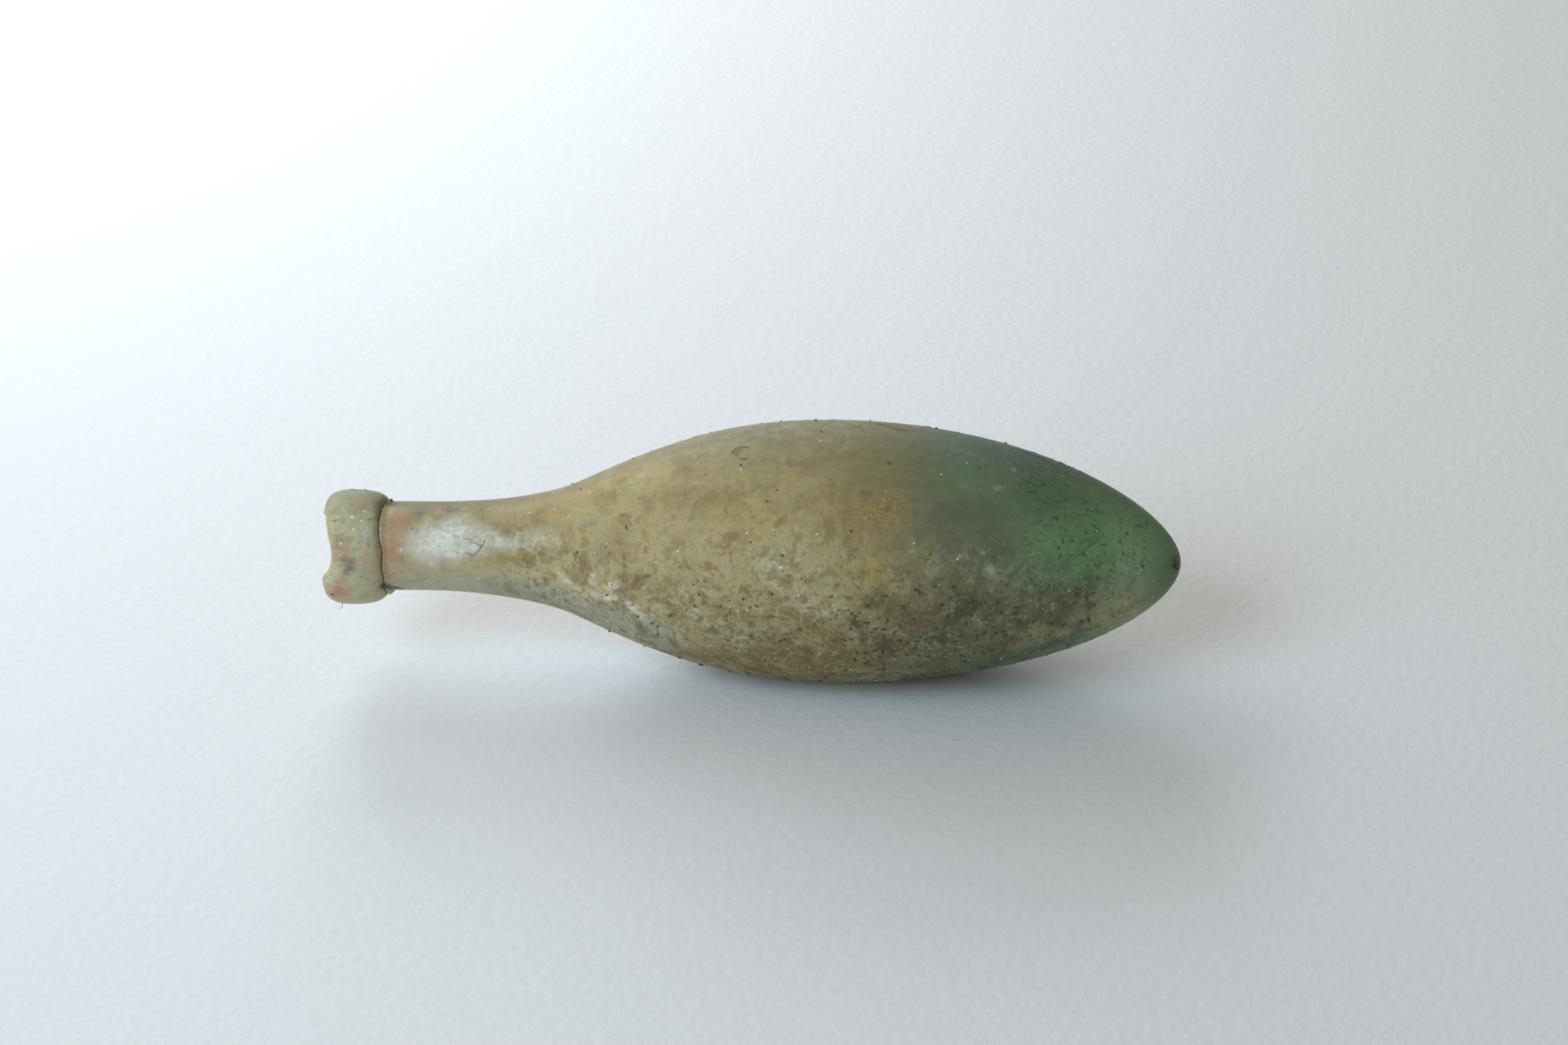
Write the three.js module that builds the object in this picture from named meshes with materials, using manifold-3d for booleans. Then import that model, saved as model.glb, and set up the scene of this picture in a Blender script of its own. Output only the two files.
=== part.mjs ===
// A pointed-base glass bottle of the torpedo kind, lying on its belly as it was laid down to be photographed.
// It is one piece of thick glass: an applied lip, a short neck, a long ovoid body and a pointed nose that is
// solid at its end. The body is hollow and empty and opens through the neck. The lip has lost a flake from its
// near side. Millimetres, +Z up. The bottle's length runs along X with the mouth at -X, and the origin is in
// the middle of the small flat spot on the belly that it rests on.

import * as THREE from "three";
import { mergeVertices } from "three/addons/utils/BufferGeometryUtils.js";
import Module from "manifold-3d";

// Lengths along the bottle, one after the other from the mouth to the nose.
const LIP_LENGTH = 16.2;
const SKIRT_LENGTH = 2.2;
const NECK_LENGTH = 7.0;
const FLARE_LENGTH = 40.6;
const SHOULDER_LENGTH = 67.0;
const NOSE_LENGTH = 89.0;

// Outer radii where those lengths meet.
const RIM_RADIUS = 11.6;
const LIP_RADIUS = 15.0;
const LIP_FOOT_RADIUS = 12.5;
const NECK_RADIUS = 11.6;
const SHOULDER_RADIUS = 17.7;
const BELLY_RADIUS = 34.0;

// How the outline leaves and reaches those places.
const LIP_CROWN = 6.5;
const SHOULDER_SLOPE = 0.46;
const NOSE_BLUNTNESS = 13.8;

// The groove where the lip's glass was laid over the neck.
const GROOVE_DEPTH = 0.7;
const GROOVE_WIDTH = 0.9;

// Thickness of the glass.
const NECK_WALL = 4.0;
const SHOULDER_WALL = 4.0;
const BELLY_WALL = 4.3;
const NOSE_WALL = 20.0;
const MOUTH_ROUNDING = 3.2;

// The axis isn't quite straight: it rises by this much between the mouth and the nose, most past the belly.
const BOW_RISE = 1.6;
const BOW_LEAN = 1.6;

// The neck is bent up by this much, and the lip was laid on it this far below its axis.
const NECK_RISE = 0.4;
const LIP_DROP = 0.55;

// The flake lost from the rim, on the side that faces the viewer, turned up from level by CHIP_ROLL degrees.
const CHIP_DEPTH = 3.25;
const CHIP_STEP = 1.2;
const CHIP_TOP = 8.6;
const CHIP_BOTTOM = 9.2;
const CHIP_ROLL = 28;

// How deep the belly is worn flat where it rests.
const REST_FLAT_DEPTH = 0.4;

// Fineness of the facets.
const SIDES = 44;
const CLEARANCE = 2.0;

const GLASS = new THREE.MeshStandardMaterial({ color: 0x6f7d55, roughness: 0.6, metalness: 0.0 });

// Stations along the bottle, from the rim.
const SKIRT_STATION = LIP_LENGTH + SKIRT_LENGTH;
const NECK_STATION = SKIRT_STATION + NECK_LENGTH;
const SHOULDER_STATION = NECK_STATION + FLARE_LENGTH;
const BELLY_STATION = SHOULDER_STATION + SHOULDER_LENGTH;
const TOTAL_LENGTH = BELLY_STATION + NOSE_LENGTH;
const BORE_RADIUS = NECK_RADIUS - NECK_WALL;

const wasm = await Module();
wasm.setup();

/** Points of a cubic curve from one place to another. A place is [radius, station]. */
function curve(from, leave, reach, to, steps) {
  const vectors = [from, leave, reach, to].map(([radius, station]) => new THREE.Vector2(radius, station));
  return new THREE.CubicBezierCurve(...vectors).getPoints(steps);
}

/**
 * The flare, shoulder and nose as three cubic curves that meet smoothly, from the neck to the end on the axis.
 * Both the outside and the inside of the glass are this shape, with their own radii.
 */
function bodyOutline(neckRadius, shoulderRadius, bellyRadius, endStation, bluntness, steps) {
  const flareLeave = NECK_STATION + 0.52 * FLARE_LENGTH;
  const flareReach = 0.17 * FLARE_LENGTH;
  const shoulderLeave = 0.345 * SHOULDER_LENGTH;
  const shoulderReach = BELLY_STATION - 0.41 * SHOULDER_LENGTH;
  const noseLeave = BELLY_STATION + 0.57 * (endStation - BELLY_STATION);
  const shoulder = [shoulderRadius, SHOULDER_STATION];
  const belly = [bellyRadius, BELLY_STATION];
  const flare = curve(
    [neckRadius, NECK_STATION],
    [neckRadius, flareLeave],
    [shoulderRadius - SHOULDER_SLOPE * flareReach, SHOULDER_STATION - flareReach],
    shoulder,
    steps.flare,
  );
  const swell = curve(
    shoulder,
    [shoulderRadius + SHOULDER_SLOPE * shoulderLeave, SHOULDER_STATION + shoulderLeave],
    [bellyRadius, shoulderReach],
    belly,
    steps.shoulder,
  );
  const nose = curve(belly, [bellyRadius, noseLeave], [bluntness, endStation], [0, endStation], steps.nose);
  return [...flare, ...swell.slice(1), ...nose.slice(1)];
}

/** The lip's outside, the groove under it and the skirt of glass that runs out onto the neck. */
function lipOutline() {
  const crown = [LIP_RADIUS, LIP_CROWN];
  const foot = [LIP_FOOT_RADIUS, LIP_LENGTH - GROOVE_WIDTH];
  const front = curve(
    [RIM_RADIUS, 0],
    [RIM_RADIUS + 0.6 * (LIP_RADIUS - RIM_RADIUS), 0],
    [LIP_RADIUS, 0.34 * LIP_CROWN],
    crown,
    6,
  );
  const back = curve(
    crown,
    [LIP_RADIUS, LIP_CROWN + 0.5 * (foot[1] - LIP_CROWN)],
    [LIP_RADIUS - 0.25 * (LIP_RADIUS - LIP_FOOT_RADIUS), foot[1] - 0.1 * (foot[1] - LIP_CROWN)],
    foot,
    5,
  );
  const skirtTop = LIP_FOOT_RADIUS - 0.25;
  const groove = [new THREE.Vector2(skirtTop - GROOVE_DEPTH, LIP_LENGTH - 0.5 * GROOVE_WIDTH)];
  const skirt = curve(
    [skirtTop, LIP_LENGTH],
    [NECK_RADIUS + 0.3 * (skirtTop - NECK_RADIUS), LIP_LENGTH + 0.3 * SKIRT_LENGTH],
    [NECK_RADIUS, LIP_LENGTH + 0.5 * SKIRT_LENGTH],
    [NECK_RADIUS, SKIRT_STATION],
    3,
  );
  return [...front, ...back.slice(1), ...groove, ...skirt];
}

/** The mouth's inside, from the crest of the rim round to the straight bore. */
function mouthOutline() {
  return curve(
    [BORE_RADIUS, MOUTH_ROUNDING],
    [BORE_RADIUS, 0.35 * MOUTH_ROUNDING],
    [BORE_RADIUS + 0.45 * (RIM_RADIUS - BORE_RADIUS), 0],
    [RIM_RADIUS, 0],
    5,
  );
}

/** How far the axis stands above the level line through the nose, at a station. */
function bow(station) {
  const share = Math.min(Math.max(station / TOTAL_LENGTH, 0), 1);
  const bent = 1 - THREE.MathUtils.smoothstep(station, NECK_STATION, SHOULDER_STATION);
  return BOW_RISE * Math.sin(Math.PI * share ** BOW_LEAN) + NECK_RISE * bent;
}

/** How far a place on the lip lies below where it would be if the lip were true to the neck. */
function lipDrop(radius, station) {
  const outward = THREE.MathUtils.smoothstep(radius, BORE_RADIUS, NECK_RADIUS);
  const fade = 1 - THREE.MathUtils.smoothstep(station, LIP_LENGTH, SKIRT_STATION);
  return LIP_DROP * outward * fade;
}

/** The height of the level line through the nose that leaves the outline's lowest REST_FLAT_DEPTH under Z = 0. */
function axisHeight(outline) {
  const undersides = outline.map((point) => bow(point.y) - point.x);
  return -REST_FLAT_DEPTH - Math.min(...undersides);
}

/** A closed geometry as a solid, once its doubled points and the slivers at its poles are gone. */
function toSolid(geometry) {
  const bare = geometry.clone();
  bare.deleteAttribute("normal");
  bare.deleteAttribute("uv");
  const merged = mergeVertices(bare, 1e-5);
  const corners = merged.index.array;
  const kept = [];
  for (let i = 0; i < corners.length; i += 3) {
    const [a, b, c] = [corners[i], corners[i + 1], corners[i + 2]];
    if (a !== b && b !== c && c !== a) {
      kept.push(a, b, c);
    }
  }
  const vertProperties = new Float32Array(merged.attributes.position.array);
  return new wasm.Manifold(new wasm.Mesh({ numProp: 3, vertProperties, triVerts: new Uint32Array(kept) }));
}

/** A solid as a geometry. */
function toGeometry(solid) {
  const mesh = solid.getMesh();
  const geometry = new THREE.BufferGeometry();
  geometry.setAttribute("position", new THREE.BufferAttribute(new Float32Array(mesh.vertProperties), 3));
  geometry.setIndex(new THREE.BufferAttribute(new Uint32Array(mesh.triVerts), 1));
  geometry.computeVertexNormals();
  return geometry;
}

/** The bottle as it left the glassmaker, laid along X with its slight bow. */
function wholeBottle() {
  const outside = bodyOutline(NECK_RADIUS, SHOULDER_RADIUS, BELLY_RADIUS, TOTAL_LENGTH, NOSE_BLUNTNESS, {
    flare: 7,
    shoulder: 10,
    nose: 16,
  });
  const shoulderInside = SHOULDER_RADIUS - SHOULDER_WALL * Math.hypot(1, SHOULDER_SLOPE);
  const bellyInside = BELLY_RADIUS - BELLY_WALL;
  const endInside = TOTAL_LENGTH - NOSE_WALL;
  const bluntInside = (NOSE_BLUNTNESS * bellyInside) / BELLY_RADIUS;
  const inside = bodyOutline(BORE_RADIUS, shoulderInside, bellyInside, endInside, bluntInside, {
    flare: 5,
    shoulder: 7,
    nose: 11,
  });
  const mouth = mouthOutline();
  const shell = [...inside.slice().reverse(), ...mouth, ...lipOutline().slice(1), ...outside];
  const geometry = new THREE.LatheGeometry(shell, SIDES);
  geometry.rotateZ(-Math.PI / 2);
  const height = axisHeight(outside);
  const position = geometry.attributes.position;
  for (let i = 0; i < position.count; i += 1) {
    const station = position.getX(i);
    const radius = Math.hypot(position.getY(i), position.getZ(i));
    position.setX(i, station - BELLY_STATION);
    position.setZ(i, position.getZ(i) + height + bow(station) - lipDrop(radius, station));
  }
  return { solid: toSolid(geometry), height };
}

/** The flake that is missing from the rim: a scoop with a sharp step at its top, drawn as the viewer sees it. */
function rimFlake(height) {
  const outline = new THREE.Shape();
  outline.moveTo(-CLEARANCE, CHIP_TOP);
  outline.lineTo(CHIP_STEP, CHIP_TOP - 0.3);
  outline.bezierCurveTo(0.75 * CHIP_DEPTH, 0.5 * CHIP_TOP, CHIP_DEPTH, 0.2 * CHIP_TOP, CHIP_DEPTH, -0.3 * CHIP_BOTTOM);
  outline.bezierCurveTo(CHIP_DEPTH, -0.7 * CHIP_BOTTOM, 0.7 * CHIP_DEPTH, -0.78 * CHIP_BOTTOM, 0, -CHIP_BOTTOM);
  outline.lineTo(-CLEARANCE, -CHIP_BOTTOM - 0.3);
  outline.closePath();
  const inner = 0.55 * BORE_RADIUS;
  const depth = LIP_RADIUS + CLEARANCE - inner;
  const geometry = new THREE.ExtrudeGeometry(outline, { depth, bevelEnabled: false, curveSegments: 6 });
  geometry.translate(0, 0, inner);
  geometry.rotateX(THREE.MathUtils.degToRad(90 - CHIP_ROLL));
  geometry.translate(-BELLY_STATION, 0, height);
  return toSolid(geometry);
}

/** Everything below the surface that the bottle rests on, which wears the flat spot. */
function groundBlock() {
  const depth = REST_FLAT_DEPTH + CLEARANCE;
  const geometry = new THREE.BoxGeometry(TOTAL_LENGTH, 2 * BELLY_RADIUS, depth);
  geometry.translate(0, 0, -0.5 * depth);
  return toSolid(geometry);
}

const { solid, height } = wholeBottle();
const worn = solid.subtract(rimFlake(height)).subtract(groundBlock());

const bottle = new THREE.Mesh(toGeometry(worn), GLASS);
bottle.name = "bottle";

const part = new THREE.Group();
part.add(bottle);

export default part;
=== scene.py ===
"""A pointed-base glass bottle, lying on its belly as it came out of the ground.

The glass is one hollow shell: an applied lip, a short neck, a long ovoid body and a pointed nose. It is
frosted by burial, stained olive and brown over its front two thirds, and still green where the light comes
through its nose. Soil crumbs, mineral flecks and dried rootlets cling to it. Sizes are in millimetres and are
made metres where a mesh is made; +X runs from the mouth to the nose and +Z is up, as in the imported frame.
"""

from __future__ import annotations

import logging
import math
from dataclasses import dataclass
from enum import Enum
from typing import Mapping, Sequence

import bpy
import numpy as np
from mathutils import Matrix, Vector

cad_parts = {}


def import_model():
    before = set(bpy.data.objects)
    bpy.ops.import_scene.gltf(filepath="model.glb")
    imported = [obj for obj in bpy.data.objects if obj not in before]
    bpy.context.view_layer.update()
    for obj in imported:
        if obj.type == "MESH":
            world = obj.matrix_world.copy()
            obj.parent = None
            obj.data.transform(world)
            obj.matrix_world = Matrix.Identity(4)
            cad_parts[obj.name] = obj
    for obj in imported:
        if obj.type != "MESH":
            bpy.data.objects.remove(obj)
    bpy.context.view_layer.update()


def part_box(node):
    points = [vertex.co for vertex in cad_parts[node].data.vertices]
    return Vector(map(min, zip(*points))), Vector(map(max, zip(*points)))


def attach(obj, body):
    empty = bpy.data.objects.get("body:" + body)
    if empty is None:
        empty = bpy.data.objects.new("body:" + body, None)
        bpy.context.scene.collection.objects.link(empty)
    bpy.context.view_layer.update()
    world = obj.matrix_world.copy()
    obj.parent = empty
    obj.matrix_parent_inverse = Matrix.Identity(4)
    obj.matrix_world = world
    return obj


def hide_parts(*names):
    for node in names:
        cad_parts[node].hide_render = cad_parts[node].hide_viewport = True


LOG = logging.getLogger("bottle")
MM = 0.001
BODY = "root"
NODE = "bottle"

# The side of the bottle that carries the flake scar and the clearest stains faces this far above the level.
SHOW_TURN = math.radians(28.0)

Triple = tuple[float, float, float]
Point = tuple[float, float]


class Side(Enum):
    """Which face of the glass a point of the outline belongs to."""

    INSIDE = 0.0
    OUTSIDE = 1.0


def tone(code: str) -> tuple[float, float, float, float]:
    """Turns a display colour into the linear one that a shader takes.

    Args:
        code: six hexadecimal digits, two each for red, green and blue.

    Returns:
        The colour as linear red, green, blue and a full alpha.
    """
    shares = [int(code[i : i + 2], 16) / 255 for i in (0, 2, 4)]
    linear = [s / 12.92 if s <= 0.04045 else ((s + 0.055) / 1.055) ** 2.4 for s in shares]
    return (linear[0], linear[1], linear[2], 1.0)


class Value:
    """A socket of a node tree, on which arithmetic adds Math nodes."""

    def __init__(self, graph: Graph, socket: bpy.types.NodeSocket) -> None:
        """Keeps the socket and the graph that it belongs to."""
        self.graph = graph
        self.socket = socket

    def _math(self, operation: str, *operands: Value | float) -> Value:
        """Adds one Math node over the operands."""
        return self.graph.node("ShaderNodeMath", {"operation": operation}, dict(enumerate(operands)))

    def __add__(self, other: Value | float) -> Value:
        """Returns the sum."""
        return self._math("ADD", self, other)

    __radd__ = __add__

    def __sub__(self, other: Value | float) -> Value:
        """Returns the difference."""
        return self._math("SUBTRACT", self, other)

    def __rsub__(self, other: float) -> Value:
        """Returns the difference from a number."""
        return self._math("SUBTRACT", other, self)

    def __mul__(self, other: Value | float) -> Value:
        """Returns the product."""
        return self._math("MULTIPLY", self, other)

    __rmul__ = __mul__

    def __truediv__(self, other: Value | float) -> Value:
        """Returns the quotient."""
        return self._math("DIVIDE", self, other)

    def __pow__(self, power: float) -> Value:
        """Returns the power."""
        return self._math("POWER", self, power)

    def __neg__(self) -> Value:
        """Returns the opposite number."""
        return self._math("MULTIPLY", self, -1.0)

    def at_least(self, other: Value | float) -> Value:
        """Returns the larger of the two."""
        return self._math("MAXIMUM", self, other)

    def at_most(self, other: Value | float) -> Value:
        """Returns the smaller of the two."""
        return self._math("MINIMUM", self, other)

    def sine(self) -> Value:
        """Returns the sine of an angle in radians."""
        return self._math("SINE", self)

    def cosine(self) -> Value:
        """Returns the cosine of an angle in radians."""
        return self._math("COSINE", self)

    def whole(self) -> Value:
        """Returns the whole part."""
        return self._math("FLOOR", self)

    def size(self) -> Value:
        """Returns the number without its sign."""
        return self._math("ABSOLUTE", self)

    def rise(self, low: float, high: float, start: float = 0.0, end: float = 1.0) -> Value:
        """Goes smoothly from start to end while the value goes from low to high.

        Args:
            low: where the change begins.
            high: where it ends; below low, the change runs the other way.
            start: the result before the change.
            end: the result after it.

        Returns:
            The eased value.
        """
        if low > high:
            low, high, start, end = high, low, end, start
        ends = {"Value": self, "From Min": low, "From Max": high, "To Min": start, "To Max": end}
        return self.graph.node("ShaderNodeMapRange", {"interpolation_type": "SMOOTHSTEP"}, ends)

    def between(self, low: float, high: float, soft: float) -> Value:
        """Is 1 from low to high and fades to 0 over a soft width beyond each."""
        return self.rise(low - soft, low) * self.rise(high + soft, high)

    def other(self, name: str) -> Value:
        """Returns another output of the same node."""
        return Value(self.graph, self.socket.node.outputs[name])


Operand = Value | float | int | bool | str | Sequence[float] | bpy.types.ID


class Graph:
    """A node tree that is being built."""

    def __init__(self, tree: bpy.types.NodeTree) -> None:
        """Keeps the tree."""
        self.tree = tree

    def node(
        self,
        kind: str,
        settings: Mapping[str, object] | None = None,
        sockets: Mapping[str | int, Operand] | None = None,
        output: str | int | None = None,
    ) -> Value:
        """Adds a node.

        Args:
            kind: the node's type.
            settings: its properties, which are set before its sockets.
            sockets: values or links for its inputs, by name or place.
            output: the output that is returned, or the first that is in use.

        Returns:
            The chosen output, or for a node without outputs its first input.
        """
        made = self.tree.nodes.new(kind)
        for name, setting in (settings or {}).items():
            setattr(made, name, setting)
        for name, operand in (sockets or {}).items():
            socket = made.inputs[name]
            if isinstance(operand, Value):
                self.tree.links.new(operand.socket, socket)
            else:
                socket.default_value = operand
        if not made.outputs:
            return Value(self, made.inputs[0])
        if output is None:
            return Value(self, next(s for s in made.outputs if s.enabled))
        return Value(self, made.outputs[output])

    def vector(self, x: Value | float, y: Value | float, z: Value | float) -> Value:
        """Joins three numbers into a vector."""
        return self.node("ShaderNodeCombineXYZ", {}, {0: x, 1: y, 2: z})

    def axes(self, vector: Value) -> tuple[Value, Value, Value]:
        """Splits a vector into its three numbers."""
        x = self.node("ShaderNodeSeparateXYZ", {}, {0: vector})
        return x, x.other("Y"), x.other("Z")

    def stretch(self, vector: Value, factors: Triple) -> Value:
        """Multiplies a vector's numbers by three factors."""
        return self.node("ShaderNodeVectorMath", {"operation": "MULTIPLY"}, {0: vector, 1: factors})

    def shift(self, vector: Value, step: Value | Triple) -> Value:
        """Adds a step to a vector."""
        return self.node("ShaderNodeVectorMath", {"operation": "ADD"}, {0: vector, 1: step})

    def distance(self, vector: Value, place: Triple) -> Value:
        """Measures from a vector to a place."""
        settings = {"operation": "DISTANCE"}
        return self.node("ShaderNodeVectorMath", settings, {0: vector, 1: place}, "Value")

    def reach(self, vector: Value, way: Triple) -> Value:
        """Measures how far a vector reaches one way."""
        return self.node("ShaderNodeVectorMath", {"operation": "DOT_PRODUCT"}, {0: vector, 1: way}, "Value")

    def noise(
        self, vector: Value, size: float, detail: float = 2.0, rough: float = 0.5, curl: float = 0.0
    ) -> Value:
        """Adds a cloudy noise about an average of one half.

        Args:
            vector: the coordinates.
            size: the width of its clouds, in the coordinates' unit.
            detail: how many finer layers it has.
            rough: how strong those are.
            curl: how much it is swirled.

        Returns:
            The noise.
        """
        look = {"Scale": 1 / size, "Detail": detail, "Roughness": rough, "Distortion": curl}
        return self.node("ShaderNodeTexNoise", {}, {"Vector": vector, **look}, 0)

    def cells(self, vector: Value, size: float, feature: str = "F1") -> Value:
        """Adds a pattern of cells.

        Args:
            vector: the coordinates.
            size: the width of a cell.
            feature: F1 for the distance to a cell's middle, or another of the node's features.

        Returns:
            The distance; its other outputs are on the same node.
        """
        sockets = {"Vector": vector, "Scale": 1 / size}
        return self.node("ShaderNodeTexVoronoi", {"feature": feature}, sockets, "Distance")

    def millimetres(self) -> Value:
        """Reads the object's own coordinates in millimetres."""
        return self.stretch(self.node("ShaderNodeTexCoord", {}, {}, "Object"), (1 / MM, 1 / MM, 1 / MM))

    def blend(self, share: Value | float, under: Operand, over: Operand) -> Value:
        """Lays one colour over another.

        Args:
            share: how much of the upper colour shows.
            under: the lower colour.
            over: the upper colour.

        Returns:
            The mixed colour.
        """
        settings = {"data_type": "RGBA", "blend_type": "MIX", "clamp_factor": True}
        return self.node("ShaderNodeMix", settings, {0: share, 6: under, 7: over}, 2)


class Paint:
    """A colour built up in coats."""

    def __init__(self, graph: Graph, ground: Operand) -> None:
        """Starts from a ground colour."""
        self.graph = graph
        self.colour = ground

    def coat(self, code: str, share: Value | float) -> None:
        """Lays a colour, given as display code, over what is there."""
        self.colour = self.graph.blend(share, self.colour, tone(code))


def blank_material(name: str) -> tuple[bpy.types.Material, Graph]:
    """Makes a material without nodes, and the graph that they are built in."""
    material = bpy.data.materials.new(name)
    material.use_nodes = True
    material.node_tree.nodes.clear()
    return material, Graph(material.node_tree)


def put(name: str, data: bpy.types.ID) -> bpy.types.Object:
    """Makes an object of the data and puts it in the scene."""
    made = bpy.data.objects.new(name, data)
    bpy.context.scene.collection.objects.link(made)
    return made


@dataclass(frozen=True)
class BottleSizes:
    """The bottle's lengths, radii and walls, in millimetres."""

    lip_length: float = 16.2
    skirt_length: float = 2.2
    neck_length: float = 7.0
    flare_length: float = 40.6
    shoulder_length: float = 67.0
    nose_length: float = 89.0
    rim_radius: float = 11.6
    lip_radius: float = 15.0
    lip_foot_radius: float = 12.5
    neck_radius: float = 11.6
    shoulder_radius: float = 17.7
    belly_radius: float = 34.0
    lip_crown: float = 6.5
    shoulder_slope: float = 0.46
    nose_bluntness: float = 13.8
    groove_depth: float = 0.7
    groove_width: float = 0.9
    groove_fill: float = 0.35
    skirt_step: float = 0.25
    neck_wall: float = 4.0
    shoulder_wall: float = 4.0
    belly_wall: float = 4.3
    nose_wall: float = 20.0
    mouth_rounding: float = 3.2
    bow_rise: float = 1.6
    bow_lean: float = 1.6
    neck_rise: float = 0.4
    lip_drop: float = 0.55
    flat_depth: float = 0.4

    @property
    def skirt_station(self) -> float:
        """Where the skirt of the lip ends on the neck."""
        return self.lip_length + self.skirt_length

    @property
    def neck_station(self) -> float:
        """Where the neck begins to flare."""
        return self.skirt_station + self.neck_length

    @property
    def shoulder_station(self) -> float:
        """Where the flare turns into the shoulder."""
        return self.neck_station + self.flare_length

    @property
    def belly_station(self) -> float:
        """Where the body is widest."""
        return self.shoulder_station + self.shoulder_length

    @property
    def total_length(self) -> float:
        """The length from the rim to the tip of the nose."""
        return self.belly_station + self.nose_length

    @property
    def bore_radius(self) -> float:
        """The radius of the neck's bore."""
        return self.neck_radius - self.neck_wall

    def bow(self, station: float) -> float:
        """How far the axis stands above the level line through the nose, at a station."""
        share = min(max(station / self.total_length, 0.0), 1.0)
        past = min(max((station - self.neck_station) / self.flare_length, 0.0), 1.0)
        bent = 1.0 - past * past * (3.0 - 2.0 * past)
        return self.bow_rise * math.sin(math.pi * share**self.bow_lean) + self.neck_rise * bent


def curve(steps: int, *places: Point) -> np.ndarray:
    """Draws a cubic curve.

    Args:
        steps: how many equal steps it is drawn in.
        places: its start, two handles and end, each as a radius and a station.

    Returns:
        Its points, one to a row, without the first.
    """
    a, b, c, d = (np.array(place) for place in places)
    t = np.linspace(0, 1, steps + 1)[1:, None]
    s = 1 - t
    return s**3 * a + 3 * s**2 * t * b + 3 * s * t**2 * c + t**3 * d


@dataclass(frozen=True)
class Handles:
    """How far the handles of the outline's curves reach, each as a share of the stretch that it is on."""

    flare_start: float = 0.52
    flare_end: float = 0.17
    swell_start: float = 0.345
    swell_end: float = 0.41
    nose: float = 0.57
    rim: float = 0.6
    lip_front: float = 0.34
    lip_back: float = 0.5
    lip_tuck: float = 0.25
    lip_foot: float = 0.1
    groove: float = 0.2
    skirt_slope: float = 0.3
    skirt_end: float = 0.5
    mouth_start: float = 0.35
    mouth_end: float = 0.45


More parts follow.
